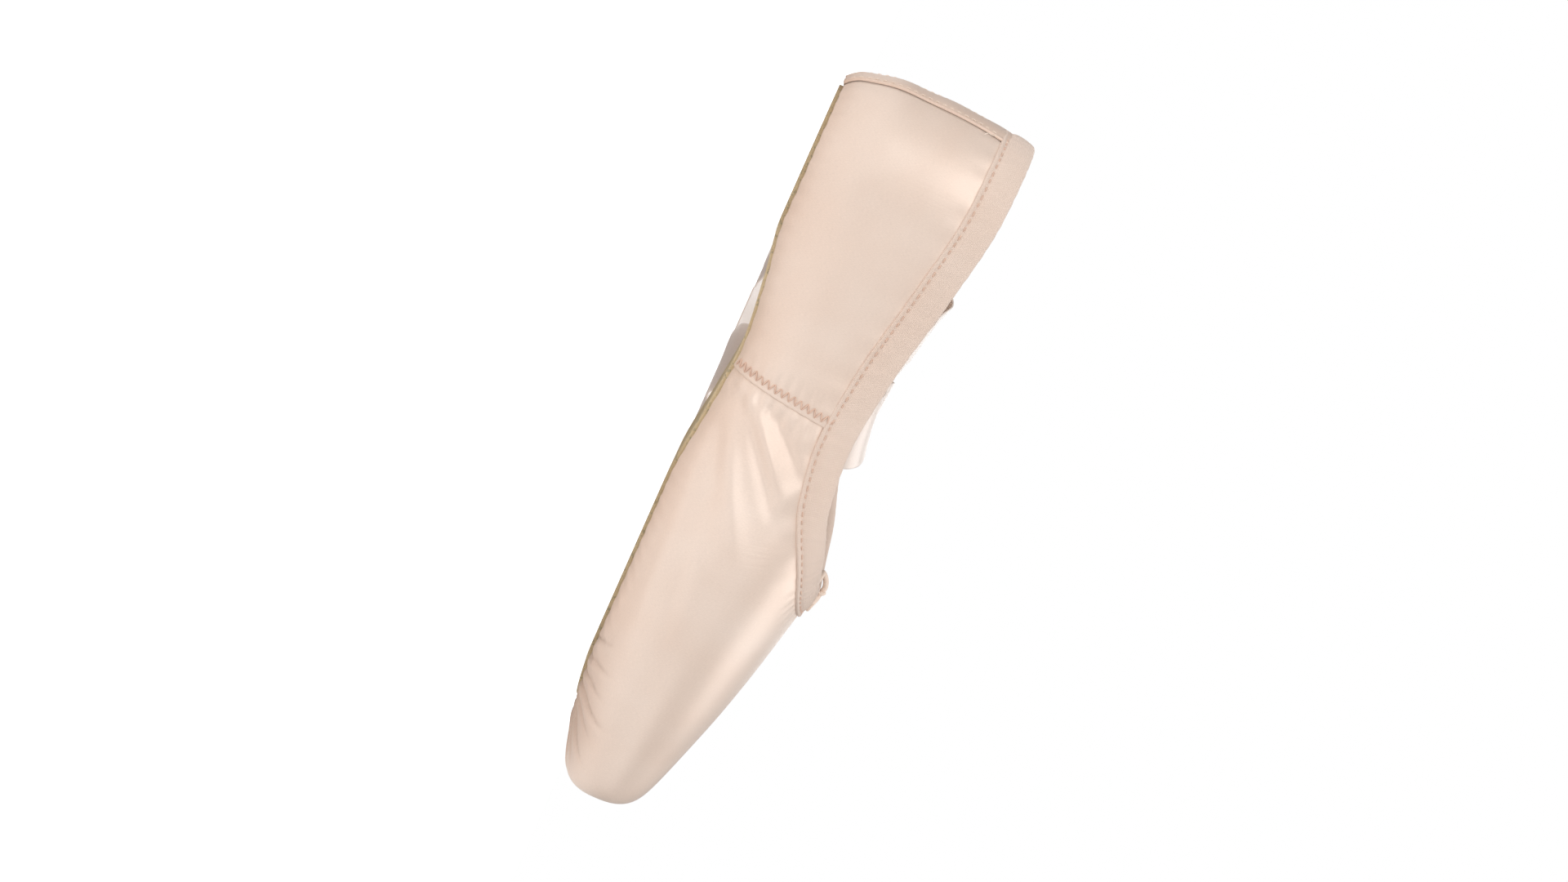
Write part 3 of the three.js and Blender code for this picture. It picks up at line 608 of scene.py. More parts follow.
SATIN = satin("upper_satin", srgb(247, 228, 214), srgb(240, 216, 199))
# The back strip is the upper's satin in darker colours: the darkening is painted shade for the heel's back.
BACK_SATIN = satin("back_strip_satin", srgb(241, 217, 200), srgb(232, 205, 186))
RIBBON_SATIN = satin("ribbon_satin", srgb(250, 238, 230), srgb(245, 230, 220), (1.1, 9.0, 1.0), metal=0.08)
CANVAS = woven("lining_canvas", srgb(254, 244, 231), srgb(249, 236, 221), pitch=0.8)
SOCK = woven("insole_cloth", srgb(253, 243, 230), srgb(247, 234, 219), pitch=0.6)
TAPE = woven("casing_tape", srgb(246, 226, 212), srgb(238, 214, 198), pitch=0.5, roughness=0.7, twill=0.5)
SUEDE = suede("outsole_suede")
THREAD = thread("stitch_thread", srgb(250, 236, 222), srgb(236, 214, 196))
# Thread for the seam zigzag and the binding stitches, darker than the other thread: the darkening is painted
# shade for the shadows round the stitches and their needle holes.
SEWING = thread("binding_thread", srgb(236, 205, 185), srgb(214, 178, 157))
STRING = thread("drawstring_cotton", srgb(250, 233, 218), srgb(234, 207, 188))


# ---------------------------------------------------------------- camera and lights
def camera():
    """Near the floor on the medial side, a little behind the shoe, rolled so the toe points down-left."""
    AZIMUTH, ROLL = math.radians(-13), math.radians(-114)
    DISTANCE, HEIGHT, LENS = 1.28, 0.007, 100
    target = Vector((-0.004, 0, 0.0275))
    eye = Vector((math.sin(AZIMUTH) * DISTANCE, -math.cos(AZIMUTH) * DISTANCE, 0)) + target
    eye.z = HEIGHT
    back = (eye - target).normalized()
    right = Vector((0, 0, 1)).cross(back).normalized()
    up = back.cross(right)
    rolled_right = math.cos(ROLL) * right - math.sin(ROLL) * up
    rolled_up = math.sin(ROLL) * right + math.cos(ROLL) * up
    data = bpy.data.cameras.new("camera")
    data.lens = LENS
    data.clip_start, data.clip_end = 0.01, 60
    obj = bpy.data.objects.new("camera", data)
    bpy.context.scene.collection.objects.link(obj)
    obj.matrix_world = Matrix(
        [(rolled_right[i], rolled_up[i], back[i], eye[i]) for i in range(3)] + [(0, 0, 0, 1)]
    )
    bpy.context.scene.camera = obj


def area_light(name, place, size, watts):
    """A round white light, aimed at the middle of the shoe."""
    AIM = (0, 0, 0.03)
    data = bpy.data.lights.new(name, "AREA")
    data.shape, data.size, data.energy = "DISK", size, watts
    obj = bpy.data.objects.new(name, data)
    bpy.context.scene.collection.objects.link(obj)
    obj.location = place
    obj.rotation_mode = "QUATERNION"
    obj.rotation_quaternion = (Vector(AIM) - Vector(place)).to_track_quat("-Z", "Y")


def studio():
    """A white set: soft lights, and a floor that glows a little, as a lit white floor throws light up. Seen
    straight from the camera, the floor and the world are plain white."""
    WORLD_LIGHT, FLOOR_GLOW, SEEN_GLOW, FLOOR_REACH = 0.3, 0.2, 0.6, 14.0
    area_light("key", (-0.85, -1.0, 0.62), size=1.2, watts=9.2)
    area_light("top", (0.2, 0.1, 1.25), size=1.1, watts=7.0)
    area_light("fill", (1.1, -1.0, 0.35), size=0.7, watts=2.0)
    area_light("back", (0.1, 1.2, 0.5), size=0.8, watts=2.5)
    world = bpy.data.worlds.new("studio")
    world.use_nodes = True
    nodes, links = world.node_tree.nodes, world.node_tree.links
    back = nodes["Background"]
    seen = nodes.new("ShaderNodeBackground")
    seen.inputs[0].default_value, seen.inputs[1].default_value = WHITE, 1.0
    back.inputs[0].default_value, back.inputs[1].default_value = (1, 0.99, 0.98, 1), WORLD_LIGHT
    path, mix = nodes.new("ShaderNodeLightPath"), nodes.new("ShaderNodeMixShader")
    links.new(path.outputs["Is Camera Ray"], mix.inputs[0])
    links.new(back.outputs[0], mix.inputs[1])
    links.new(seen.outputs[0], mix.inputs[2])
    links.new(mix.outputs[0], nodes["World Output"].inputs[0])
    bpy.context.scene.world = world
    bpy.context.scene.view_settings.view_transform = "Standard"
    m = Nodes("floor_white", 0.9)
    tone = m.noise(m.space(2.0), 2.0)
    floor_material = m.finish(m.mix(tone, (0.86, 0.86, 0.86, 1), (0.88, 0.88, 0.88, 1)))
    direct = m.add("LightPath").outputs["Is Camera Ray"]
    glow = m.math("ADD", m.math("MULTIPLY", direct, SEEN_GLOW), FLOOR_GLOW)
    m.plug(m.shader, {"Emission Color": WHITE, "Emission Strength": glow})
    mesh = bpy.data.meshes.new("floor")
    corners = [(FLOOR_REACH * x, FLOOR_REACH * y, 0) for x, y in ((-1, -1), (1, -1), (1, 1), (-1, 1))]
    mesh.from_pydata(corners, [], [(0, 1, 2, 3)])
    floor = bpy.data.objects.new("floor", mesh)
    bpy.context.scene.collection.objects.link(floor)
    mesh.materials.append(floor_material)


# ---------------------------------------------------------------- ribbons
RIBBON_CLOTH = 0.34
LOWEST = 0.05  # no cloth goes lower over the floor
ACROSS = np.array([-1, -0.97, -0.9, -0.7, -0.4, 0, 0.4, 0.7, 0.9, 0.97, 1.0])


def catmull(points, t):
    """A Catmull-Rom curve through the points, at t counted in points."""
    k = np.clip(np.floor(t).astype(int), 0, len(points) - 2)
    u = (t - k)[:, None]
    first, last = 2 * points[0] - points[1], 2 * points[-1] - points[-2]
    padded = np.vstack([first, points, last])
    a, b, c, d = (padded[k + i] for i in range(4))
    return 0.5 * (2 * b + (c - a) * u + (2 * a - 5 * b + 4 * c - d) * u**2 + (3 * b - a - 3 * c + d) * u**3)


def softened(values, reach=9):
    """Each value averaged with its neighbours, the near ones counting most."""
    weight = np.hanning(2 * reach + 1)
    padded = np.concatenate([np.full(reach, values[0]), values, np.full(reach, values[-1])])
    return np.convolve(padded, weight / weight.sum(), mode="valid")


def sewn_end(name, walked, centre, across, through):
    """The square of hand stitches that holds a ribbon's end inside the quarter."""
    EDGE, START, END = 9.2, 1.4, 12.0
    corners = [(-EDGE, START), (-EDGE, END), (EDGE, END), (EDGE, START), (-EDGE, START)]
    inward = -np.sign(centre[0, 1])
    places, normals = [], []
    for (a, b), (c, d) in zip(corners[:-1], corners[1:]):
        for t in np.linspace(0, 1, 16, endpoint=False):
            sideways, along = a + (c - a) * t, b + (d - b) * t
            here, wide, face = (places_at(along, walked, v) for v in (centre, across, through))
            face = unit(face) * np.sign(face[1] * inward)
            places.append(here + unit(wide) * sideways + face * (RIBBON_CLOTH / 2 + 0.15))
            normals.append(face)
    places, normals = np.array(places), np.array(normals)
    parts = stitch_row(places, normals, standing=0.12, length=1.9, gap=1.1, radius=0.2, waver=0.25)
    obj = joined_tubes(name.replace("_satin", "_stitches"), parts, THREAD)


def ribbon(name, node, route, seed):
    """A strip along the route, slightly crowned across its width, with a woven edge on each side."""
    rows = np.array([row if len(row) == 5 else (*row[:2], ON_FLOOR, *row[2:]) for row in route], float)
    steps = 12 * (len(rows) - 1)
    t = np.linspace(0, len(rows) - 1, steps + 1)
    low = catmull(rows[:, :3], t)
    k = np.clip(np.floor(t).astype(int), 0, len(rows) - 2)
    turn = rows[k, 3:] + (rows[k + 1, 3:] - rows[k, 3:]) * smooth_step(0, 1, t - k)[:, None]
    edge, lean = (softened(angle) for angle in np.radians(turn).T)
    along = unit(np.gradient(low, axis=0))
    across = np.stack([np.cos(edge) * np.cos(lean), np.sin(edge) * np.cos(lean), np.sin(lean)], axis=-1)
    across = unit(across - along * (across * along).sum(axis=1, keepdims=True))
    through = np.cross(across, along)
    centre = low.copy()
    centre[:, 2] += np.abs(np.sin(lean)) * RIBBON_WIDTH / 2
    walked = lengths_along(centre)
    half = RIBBON_WIDTH / 2 * ACROSS
    ripple = 0.22 * np.sin(walked / 11.0 + seed) + 0.14 * np.sin(walked / 4.7 + 2 * seed)
    on_floor = 1 - smooth_step(3, 12, low[:, 2])
    crown = (1 - ACROSS**2)[None, :] * (0.35 * on_floor + ripple * 0.5)[:, None]
    crown += ACROSS[None, :] * ripple[:, None] * 0.4 * (1 - on_floor)[:, None]
    thick = RIBBON_CLOTH / 2 * np.where(np.abs(ACROSS) > 0.95, 1.25, 1.0)
    flat = centre[:, None] + across[:, None] * half[None, :, None]
    top = flat + through[:, None] * (crown + thick)[..., None]
    bottom = flat + through[:, None] * (crown - thick)[..., None]
    ring = np.concatenate([top, bottom[:, ::-1]], axis=1)
    ring[..., 2] = np.maximum(ring[..., 2], LOWEST)
    faces = capped_faces(*ring.shape[:2])
    u = np.broadcast_to(np.concatenate([half, half[::-1]])[None, :], ring.shape[:2])
    v = np.broadcast_to(walked[:, None], ring.shape[:2])
    obj = new_object(name, ring, faces, RIBBON_SATIN, (u, v))
    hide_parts(node)
    path = to_row(centre)
    sewn_end(name, walked, centre, across, through)


camera()
ribbon("ribbon_medial_satin", "ribbon_medial", RIBBON_MEDIAL, 0.4)
ribbon("ribbon_lateral_satin", "ribbon_lateral", RIBBON_LATERAL, 1.7)
studio()

# ---------------------------------------------------------------- relief of the satin
# Creases of the vamp and quarter, as soft ridges: the side (-1 near, 1 far), x and z of the start, middle and
# end, the width and the height. A negative height is a trough.
CREASES = [
    (-1, (93, 8), (104, 19), (126, 39), 2.2, 1.15),
    (-1, (95, 17), (104, 27), (118, 40), 2.0, -0.8),
    (-1, (97, 8), (120, 17), (148, 34), 2.8, 0.95),
    (-1, (97, 13), (114, 24), (134, 39), 2.0, -0.75),
    (-1, (104, 8), (126, 14), (152, 24), 2.4, -0.6),
    (-1, (102, 6), (140, 8), (190, 11), 2.6, 0.75),
    (-1, (116, 10.5), (146, 15), (180, 19), 2.8, -0.45),
    (-1, (112, 40), (120, 34), (138, 30), 2.4, 0.45),
    (-1, (90, 10), (86, 22), (88, 38), 4.5, 0.3),
    (-1, (28, 12), (34, 26), (30, 44), 6.5, -0.35),
    (-1, (46, 16), (52, 28), (50, 42), 7.0, 0.3),
    (-1, (66, 12), (72, 24), (70, 36), 6.0, -0.25),
    (1, (94, 9), (107, 20), (130, 41), 2.4, 1.05),
    (1, (96, 18), (106, 28), (121, 41), 2.1, -0.75),
    (1, (98, 8), (122, 15), (150, 31), 3.0, 0.85),
    (1, (99, 14), (118, 25), (140, 38), 2.2, -0.65),
    (1, (104, 6), (142, 8), (188, 11), 2.8, 0.65),
    (1, (118, 10), (148, 14), (178, 18), 3.0, -0.4),
    (1, (88, 12), (84, 24), (86, 38), 5.0, 0.3),
    (1, (34, 12), (30, 28), (34, 44), 6.5, -0.3),
    (1, (58, 14), (54, 28), (58, 42), 7.0, 0.3),
]


def waves(skin, every, phase):
    """Ripples that run round the shoe, one to every so many millimetres."""
    return np.sin(skin.around * 2 * math.pi / every + phase)


def crease_relief(skin):
    out = np.zeros(skin.x.shape)
    t = np.linspace(0, 1, 25)[:, None]
    for side, start, middle, end, width, height in CREASES:
        start, middle, end = (np.array(p, float) for p in (start, middle, end))
        control = 2 * middle - (start + end) / 2
        line = (1 - t) ** 2 * start + 2 * t * (1 - t) * control + t**2 * end
        near = np.full(skin.x.shape, 1e9)
        place = np.zeros(skin.x.shape)
        for a, b, s in zip(line[:-1], line[1:], t[:-1, 0]):
            span = b - a
            part = ((skin.x - a[0]) * span[0] + (skin.z - a[1]) * span[1]) / (span @ span)
            part = np.clip(part, 0, 1)
            gap = np.hypot(skin.x - a[0] - part * span[0], skin.z - a[1] - part * span[1])
            closer = gap < near
            near = np.where(closer, gap, near)
            place = np.where(closer, s + part / (len(t) - 1), place)
        fade = smooth_step(0, 0.3, place) * smooth_step(0, 0.4, 1 - place)
        on_side = smooth_step(4, 12, skin.y * side)
        out += height * np.exp(-((near / width) ** 2)) * fade * on_side
    return out


# Pleats under the toe: where each folds in along the sole's edge, in degrees from straight ahead as seen
# from a point near the sole's front, how far it reaches towards the platform, and its depth.
PLEATS = [
    (-96, 13, 0.9), (-80, 18, 1.1), (-67, 21, 1.1), (-56, 29, 1.9), (-45, 22, 1.2), (-33, 30, 1.4),
    (-23, 23, 1.2), (-11, 29, 1.5), (-1, 24, 1.2), (9, 30, 1.4), (22, 23, 1.2), (32, 29, 1.5),
    (44, 23, 1.2), (56, 28, 1.7), (68, 20, 1.1), (81, 17, 1.0), (95, 13, 0.8),
]
PLEAT_CENTRE = 184.0


def pleat_relief(skin):
    """Knife folds that fan out from the front of the outsole: each rises at once and falls away slowly."""
    wobble = 1.6 * np.sin(skin.above_sole / 6.0 + skin.around / 9.0)
    angle = np.degrees(np.arctan2(skin.y, skin.x - PLEAT_CENTRE)) + wobble
    radius = np.hypot(skin.y, skin.x - PLEAT_CENTRE)
    under = skin.above_sole
    out = np.zeros(skin.x.shape)
    for (start, reach, depth), (end, _, _) in zip(PLEATS[:-1], PLEATS[1:]):
        t = (angle - start) / (end - start)
        inside = (t >= 0) & (t < 1)
        rise = 1 - (1 - np.clip(t, 0, 1)) ** 7
        fall = 1 - 0.85 * np.clip(t, 0, 1) ** 1.4
        fade = smooth_step(reach, reach * 0.25, under) * smooth_step(-0.5, 2.0, under)
        out += np.where(inside, depth * (rise * fall - 0.35) * fade, 0)
        groove = np.exp(-((angle - start) * np.radians(1) * radius / 0.7) ** 2)
        out -= 0.4 * depth * groove * smooth_step(reach * 1.1, reach * 0.4, under)
    return out * (skin.z < last_widest(skin.x))


def swell_relief(skin):
    """The satin puffs a little where it turns under, with small gathers between the sole's stitches."""
    puff = 0.5 * bump(skin.above_sole, 4.0, 3.6)
    gathers = waves(skin, 6.3, 1.3 * np.sin(skin.around / 17))
    return puff + 0.12 * gathers * bump(skin.above_sole, 2, 5)


def slack_relief(skin):
    """Broad unevenness of satin pasted over canvas."""
    side = np.tanh(skin.y / 12)
    a = np.sin(skin.x / 13.0 + skin.z / 9.0 + 1.2 * side) * np.sin(skin.z / 7.0 - skin.x / 31.0)
    b = np.sin(skin.x / 5.6 - skin.z / 8.0 + side) * np.sin(skin.around / 12.0)
    quarter = 1 - smooth_step(100, 150, skin.x)
    collar = 0.14 * waves(skin, 9.0, np.sin(skin.around / 13)) * bump(skin.below_collar, 9, 5)
    return 0.14 * a * (0.35 + 0.65 * quarter) + 0.05 * b * quarter + collar * (0.4 + 0.6 * quarter)


def relief(skin):
    return crease_relief(skin) + pleat_relief(skin) + swell_relief(skin) + slack_relief(skin)


# ---------------------------------------------------------------- upper
# The satin's turn under the outsole: out from the sole's edge, up, and its place on the cloth.
TUCK = [(-1.5, 0.28, -6.0), (0.0, 0.24, -4.5), (0.5, -0.1, -3.2), (0.95, -0.55, -2.2), (1.45, -0.95, -1.1)]
TUCK_ON_CLOTH = np.array([row[2] for row in TUCK])[:, None]
LOWEST_SATIN = 0.35


def tuck_rows(s):
    """The satin's way under the outsole's edge, a row for each step of TUCK, at places s round the shoe."""
    share, side = share_and_side(s)
    hub, turn = np.interp(share, SHARES, HUBS), np.interp(share, SHARES, TURNS)
    rows = []
    for out, up, _ in TUCK:
        p = in_plane(hub, turn, sole_radius(hub, turn, 0.0) + out, 0.0)
        p[:, 2] = sole_top(p[:, 0]) + up
        p[:, 1] *= side
        rows.append(p)
    return np.array(rows)


def tucked_object(name, tuck, points, around, above_sole, material):
    """A stretch of the satin shell together with its turn under the outsole."""
    points = np.concatenate([tuck, points])
    points[..., 2] = np.maximum(points[..., 2], LOWEST_SATIN)
    around = np.concatenate([np.repeat(around[:1], len(TUCK), axis=0), around])
    above = np.concatenate([TUCK_ON_CLOTH + 0 * tuck[..., 0], above_sole])
    obj = grid_object(name, points, material, (around, above))
    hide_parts("upper")


def shell(name, s, v, out_of):
    """A stretch of the satin shell: a row of places s for each v. out_of(skin) says how far it stands off the
    last."""
    skin = Skin(s, v[:, None])
    points = skin.moved(out_of(skin))
    # The tuck follows the shell's first row, which the relief has moved.
    weight = np.linspace(0.1, 0.9, len(TUCK))[:, None, None]
    tuck = tuck_rows(s[0]) + (points[0] - skin.p[0])[None] * weight
    tucked_object(name, tuck, points, skin.around, skin.above_sole, SATIN)


def rounded_edge(from_edge, radius, depth):
    """How far a folded edge drops as it curves away, over a radius, down to its full depth."""
    part = 1 - np.clip(from_edge / radius, 0, 1)
    return depth * (1 - np.sqrt(np.clip(1 - part**2, 0, 1)))


def denser_at_start(count, power):
    return np.linspace(0, 1, count) ** power


def vamp():
    """The satin over the toe, from seam to seam, running a little way under the quarters."""
    UNDERLAP = 5.0
    v = denser_at_start(118, 1.45)
    places = np.linspace(-1, 1, 400)
    places = np.sign(places) * np.abs(places) ** 1.25
    s = places * seam_place(v, -UNDERLAP)[:, None]

    def off(skin):
        hidden = smooth_step(1.5, -0.5, skin.x - seam_line(skin.z))
        pucker = 0.2 * bump(skin.x - seam_line(skin.z), 3.0, 3.2) * np.sin(skin.z * 1.5)
        return relief(skin) - 0.3 * hidden + pucker

    shell("vamp_satin", s, v, off)


def quarters():
    """The satin round the heel, lapped over the vamp at both seams with its edges folded under."""
    v = denser_at_start(84, 1.15)
    fold = np.array([0, 0.0008, 0.0016, 0.003, 0.005])
    middle = np.linspace(0.008, 0.992, 300)
    places = np.concatenate([fold, middle, 1 - fold[::-1]])
    start = seam_place(v)[:, None]

    def off(skin):
        from_edge = np.abs(seam_line(skin.z) - skin.x)
        lap = 0.45 * smooth_step(16, 4, from_edge)
        rounded = rounded_edge(from_edge, 0.9, 0.7)
        ditch = 0.16 * bump(from_edge, 2.6, 1.1)
        pucker = 0.12 * bump(from_edge, 5.0, 3.0) * np.sin(skin.z * 1.9)
        beside_strip = AROUND[-1] - strip_half_width(skin.z) - np.abs(skin.around)
        shade = 0.4 * bump(beside_strip, 0.3, 0.7)
        return relief(skin) + lap - rounded - ditch + pucker - shade

    shell("quarter_satin", start + places * (2 - 2 * start), v, off)


def lining():
    """The canvas inside, from the collar down to the insole, with soft unevenness."""
    places = np.linspace(-1, 1, 300, endpoint=False)
    v = np.linspace(0, 1, 60)
    skin = Skin(places[None, :], v[:, None])
    uneven = 0.12 * np.sin(skin.x / 7.0 + skin.z / 5.0) * np.sin(skin.around / 10.0)
    points = skin.moved(-wall_at(skin.x) + 0.15 + uneven)
    floor = sole_top(skin.x) + GAP + CANVAS_WALL
    points[..., 2] = np.maximum(points[..., 2], floor)
    obj = grid_object("lining", points, CANVAS, (skin.around, skin.above_sole), flip=True, close_columns=True)
    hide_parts("upper")


def strip_half_width(z):
    """Half the back strip's width at a height: it is widest at the collar."""
    return 0.5 * np.interp(z, [4, 30, 57], [13.5, 15.5, 18.5])


def back_strip():
    """The satin band over the heel seam, wider at the top, with its long edges folded under."""
    v = np.linspace(0.0, 1.0, 90)
    outer = np.array([0.93, 0.97, 0.995, 1])
    across = np.concatenate([-outer[::-1], np.linspace(-0.88, 0.88, 27), outer])
    half = strip_half_width(Skin(np.ones(len(v)), v).z)
    scale = AROUND[-1]
    s = 1 + across[None, :] * half[:, None] / scale
    skin = Skin(s, v[:, None])
    from_edge = (1 - np.abs(across))[None, :] * half[:, None]
    rounded = rounded_edge(from_edge, 0.8, 0.8)
    ditch = 0.16 * bump(from_edge, 1.5, 0.7)
    ripple = 0.1 * np.sin(skin.z / 2.3) * bump(from_edge, 3.0, 2.5)
    out = relief(skin) + 0.75 - rounded - ditch + ripple
    tuck = tuck_rows(s[0]) + (skin.n * 0.6 * np.clip(out, 0, 1)[..., None])[:1]
    # The strip wears the satin darkened as painted shade.
    tucked_object("back_strip", tuck, skin.moved(out), s * scale, skin.above_sole, BACK_SATIN)
    return half


def seam_stitches():
    """A zigzag row down each side seam, on the quarter, just behind its folded edge."""
    PITCH, NEAR_EDGE, FAR_EDGE, RADIUS = 1.15, 1.2, 4.0, 0.23
    LOW, HIGH, STANDING = 0.03, 0.83, 0.45
    DIP = np.array([-0.2, 0.06, 0.12, 0.12, 0.06, -0.2])
    parts = []
    count = int(HEIGHTS[HALF_PLANES // 2] * (HIGH - LOW) / PITCH)
    rows = np.linspace(LOW, HIGH, count)
    share = np.linspace(0, 1, len(DIP))[:, None]
    for side in (-1, 1):
        near = seam_place(rows, -NEAR_EDGE) * side
        far = seam_place(rows, -FAR_EDGE) * side
        a, b = Skin(near, rows), Skin(far, rows)
        for i in range(count - 1):
            first, second = (a, b) if i % 2 == 0 else (b, a)
            p = first.p[i] * (1 - share) + second.p[i + 1] * share
            n = unit(first.n[i] * (1 - share) + second.n[i + 1] * share)
            own = Skin((near[i] + far[i]) / 2, rows[i])
            lift = float(relief(own)) + STANDING + DIP
            parts.append(tube_parts(p + n * lift[:, None], RADIUS, 6, across=n[2]))
    obj = joined_tubes("seam_zigzag", parts, SEWING)
    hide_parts("upper")


def back_strip_stitches(half):
    """A row of stitches down each edge of the back strip, and the loose end of their thread."""
    EDGE = 1.5
    parts = []
    rows = np.linspace(0.02, 0.84, len(half))
    for side in (-1, 1):
        s = 1 + side * (np.interp(rows, np.linspace(0, 1, len(half)), half) - EDGE) / AROUND[-1]
        skin = Skin(s, rows)
        on_strip = skin.moved(relief(skin))
        parts += stitch_row(on_strip, skin.n, standing=0.75, length=1.5, gap=0.8, radius=0.16)
    # One end of the sewing thread is left loose just under the binding, on the near side.
    edge = NEAR_SIDE * (1 - (half[-1] - 0.6) / AROUND[-1])
    v = np.array([0.8, 0.805, 0.8, 0.785, 0.765, 0.75])
    drift = np.array([0, 1.4, 2.8, 3.6, 3.4, 4.4]) / AROUND[-1]
    tail = Skin(edge - NEAR_SIDE * drift, v)
    path = tail.moved(relief(tail) + np.array([0.6, 1.3, 1.7, 1.9, 1.8, 1.5]))
    parts.append(tube_parts(catmull(path, np.linspace(0, 5, 31)), 0.13, 6))
    obj = joined_tubes("back_strip_stitches", parts, THREAD)
    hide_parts("upper")


# ---------------------------------------------------------------- binding
# The folded tape's profile: distance below the collar's edge, and thickness over the shell.
CHANNEL = [
    (9.0, -0.25), (9.0, 0.4), (8.7, 0.68), (8.2, 0.72), (7.6, 0.36), (7.2, 0.32), (6.8, 0.6), (5.6, 1.1),
    (4.0, 1.3), (2.2, 1.3), (0.9, 1.2),
]


def binding():
    """The folded casing tape over the collar, softly gathered by its string, and its stitches."""
    s = np.linspace(-1, 1, 640, endpoint=False)
    height = np.interp(np.abs(s), SHARES, HEIGHTS)

    def at(below):
        return Skin(s, 1 - below / height)

    def ripple(skin, strength):
        fine = waves(skin, 3.7, 1.5 * np.sin(skin.around / 11))
        return strength * (fine * 0.5 + waves(skin, 6.1, 2.0) * 0.5)

    rings = []
    for below, thick in CHANNEL:
        skin = at(below)
        gathered = ripple(skin, 0.1 * np.clip(thick, 0, 1))
        rings.append(skin.moved(thick + 0.1 + gathered + 0.6 * slack_relief(skin)))
    top, lower = at(0.0), at(1.0)
    up = unit(top.p - lower.p)
    wall = wall_at(top.x)
    middle = top.p - top.n * (wall / 2)[:, None]
    reach = wall / 2 + 1.25
    rise = 1.55 * (1 + 0.06 * ripple(top, 1.0))
    for angle in np.radians(np.linspace(10, 170, 11)):
        outward, upward = math.cos(angle) * reach, math.sin(angle) * rise
        rings.append(middle + top.n * outward[:, None] + up * upward[:, None])
    for below, thick in reversed(CHANNEL):
        skin = at(below)
        gathered = ripple(skin, 0.08 * np.clip(thick, 0, 1))
        rings.append(skin.moved(-wall_at(skin.x) - thick * 0.9 - gathered))
    points = np.array(rings)
    steps = lengths_along(points[:, 0])
    v = np.broadcast_to(steps[:, None], points.shape[:2])
    u = np.broadcast_to(top.around[None], points.shape[:2])
    obj = grid_object("binding_tape", points, TAPE, (u, v), close_columns=True)
    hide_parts("collar_binding")

    LINE = 7.4
    skin = at(LINE)
    outside = skin.moved(0.6 * slack_relief(skin))
    inside = skin.moved(-wall_at(skin.x))
    parts = []
    for line, normals, standing in ((outside, skin.n, 0.62), (inside, -skin.n, 0.6)):
        parts += stitch_row(line, normals, standing, length=1.7, gap=0.9, radius=0.2, waver=0.15)
    obj = joined_tubes("binding_stitches", parts, SEWING)
    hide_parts("collar_binding")


# ---------------------------------------------------------------- outsole and insole
def slab(name, node, material, margin, rim, top_rows, dome=0.0):
    """A flat piece with the sole's outline. rim is its edge from the underside up: inwards, and height above
    the sole's underside."""
    STATIONS, INSET, ROUNDING, NARROWEST = 220, 0.12, 0.985, 0.3
    start, length = SOLE_HEEL_END - margin, SOLE_TOE_END - SOLE_HEEL_END + 2 * margin
    u = (np.arange(STATIONS + 1) + INSET) / (STATIONS + 2 * INSET)
    x = start + length * (u - ROUNDING * np.sin(2 * math.pi * u) / (2 * math.pi))
    half = outline_at(x, margin)
    across = np.linspace(-1, 1, top_rows)
    ring = []

    def add(share, inward, height):
        ring.append((x, share * np.maximum(half - inward, half * NARROWEST), underside(x) + height))

    for f in across:
        add(f, *rim[0])
    for inward, height in rim[1:]:
        add(1, inward, height)
    for f in -across[1:-1]:
        add(f, rim[-1][0], rim[-1][1] + dome * (1 - f * f))
    for inward, height in reversed(rim[1:]):
        add(-1, inward, height)
    points = np.array(ring).transpose(2, 0, 1)
    faces = capped_faces(*points.shape[:2])
    obj = new_object(name, points, faces, material, (points[..., 0], points[..., 1]))
    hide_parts(node)


def outsole():
    low = [(0.9, 0.0), (0.45, 0.1), (0.12, 0.35), (0.0, 0.8)]
    rim = low + [(0.0, 1.7), (0.1, 2.15), (0.4, 2.36), (0.9, SOLE_THICKNESS)]
    slab("outsole_suede_sole", "outsole", SUEDE, 0.0, rim, 26)


def insole():
    low = SOLE_THICKNESS + GAP + CANVAS_WALL + GAP
    rim = [(1.0, low), (0.0, low + 0.3), (0.0, low + 1.0), (0.35, low + 1.45), (1.2, low + 1.6)]
    slab("insole_sock", "insole", SOCK, 0.6, rim, 20, 0.25)


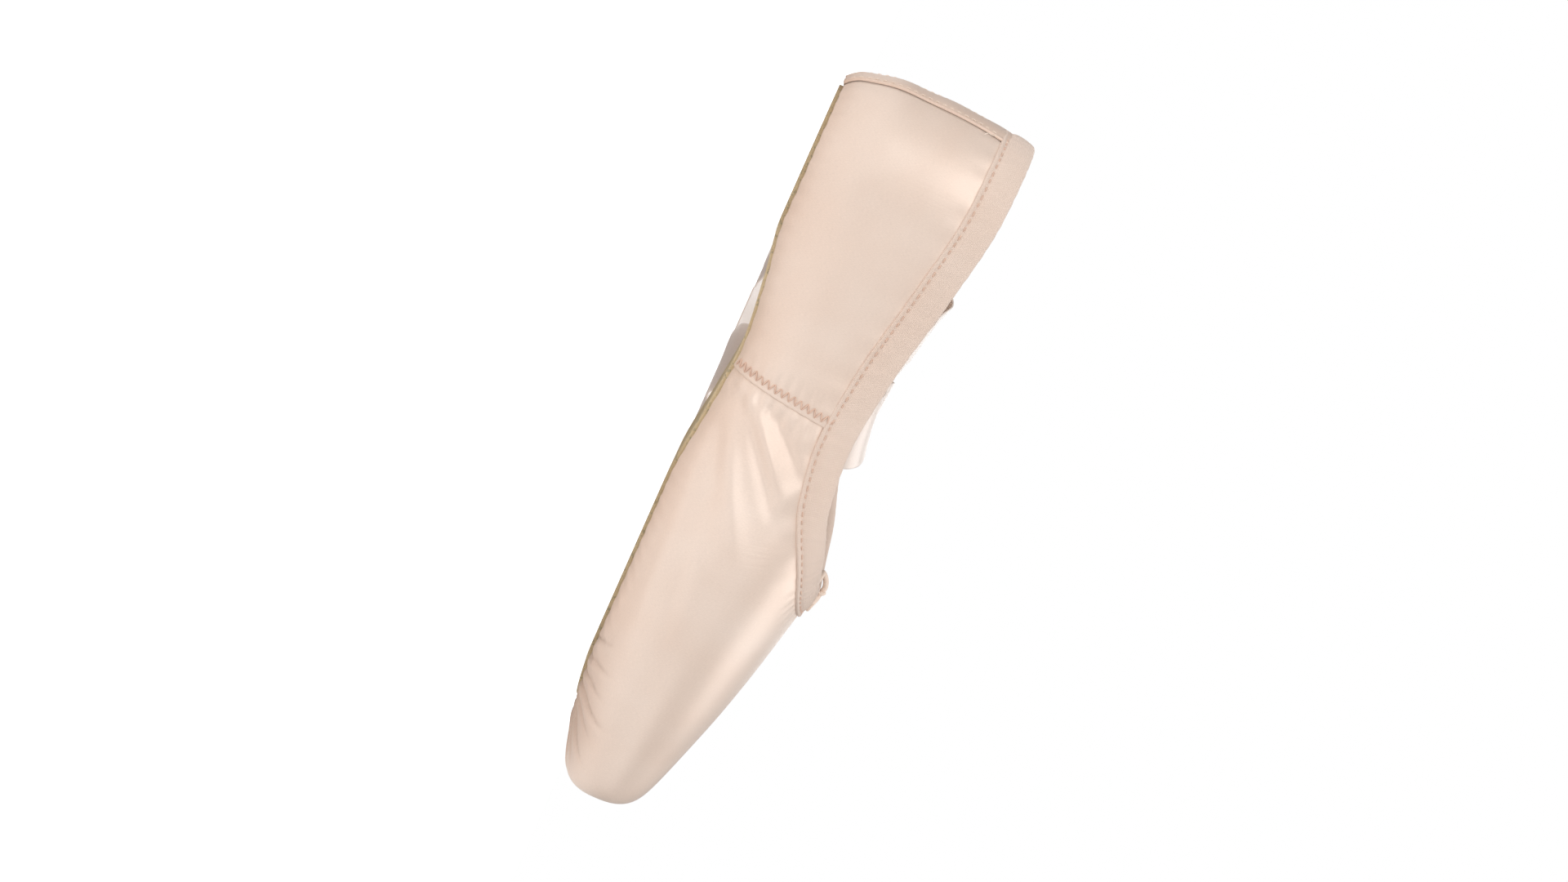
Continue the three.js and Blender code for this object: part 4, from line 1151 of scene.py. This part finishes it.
# ---------------------------------------------------------------- drawstring
def drawstring():
    """The string's small arch out of the binding at the throat, and its little bow lying on the tape."""
    edge, lower = Skin(0.0, [1.0, 0.93]).p
    normal = Skin(0.0, [1.0]).n[0]
    up = unit(edge - lower)
    side = np.array([0, 1.0, 0])

    def at(across, along, out):
        return edge + side * across + up * along + normal * out

    def smooth(points):
        points = np.array(points, float)
        return catmull(points, np.linspace(0, len(points) - 1, 8 * (len(points) - 1) + 1))

    base = -wall_at(edge[0]) / 2  # the middle of the wall
    on = 1.6  # the tape's face
    # Each strand: its radius, its sides, and its points across, up and out from the collar's edge.
    strands = [
        (0.75, 10, normal, [
            (-4.6, 0.4, base), (-3.9, 2.6, base + 0.2), (-2.0, 4.3, base + 0.4), (0, 4.9, base + 0.5),
            (2.0, 4.3, base + 0.4), (3.9, 2.6, base + 0.2), (4.6, 0.4, base),
        ]),
        (0.85, 10, side, [
            (0.1, 4.9, base + 0.5), (0.2, 3.6, 0.8), (0.1, 1.6, on + 0.4), (0, -0.6, on + 0.5),
        ]),
        (0.7, 10, up, [
            (-1.1, -0.9, on - 0.3), (-0.9, -0.4, on + 0.7), (0, -0.2, on + 1.1), (0.9, -0.5, on + 0.7),
            (1.1, -1.0, on - 0.3),
        ]),
    ]
    for lean in (-1, 1):
        strands.append((0.55, 8, normal, [
            (0.2 * lean, -0.8, on + 0.5), (lean, -2.6, on + 0.5), (1.9 * lean, -5.0, on + 0.1),
            (1.5 * lean, -6.8, on - 0.1), (0.5 * lean, -5.6, on + 0.1), (0.3 * lean, -2.8, on + 0.4),
            (0.1 * lean, -0.9, on + 0.5),
        ]))
    strands += [
        (0.5, 8, normal, [(-0.4, -0.8, on + 0.3), (-1.9, -2.4, on + 0.1), (-2.9, -4.4, on - 0.25)]),
        (0.5, 8, normal, [(0.4, -0.8, on + 0.3), (2.2, -1.9, on + 0.1), (3.6, -3.2, on - 0.25)]),
    ]
    parts = [
        tube_parts(smooth([at(*place) for place in places]), radius, sides, across=reference)
        for radius, sides, reference, places in strands
    ]
    obj = joined_tubes("drawstring_bow", parts, STRING)
    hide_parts("drawstring_knot")


vamp()
quarters()
lining()
strip_half = back_strip()
seam_stitches()
back_strip_stitches(strip_half)
binding()
outsole()
insole()
drawstring()
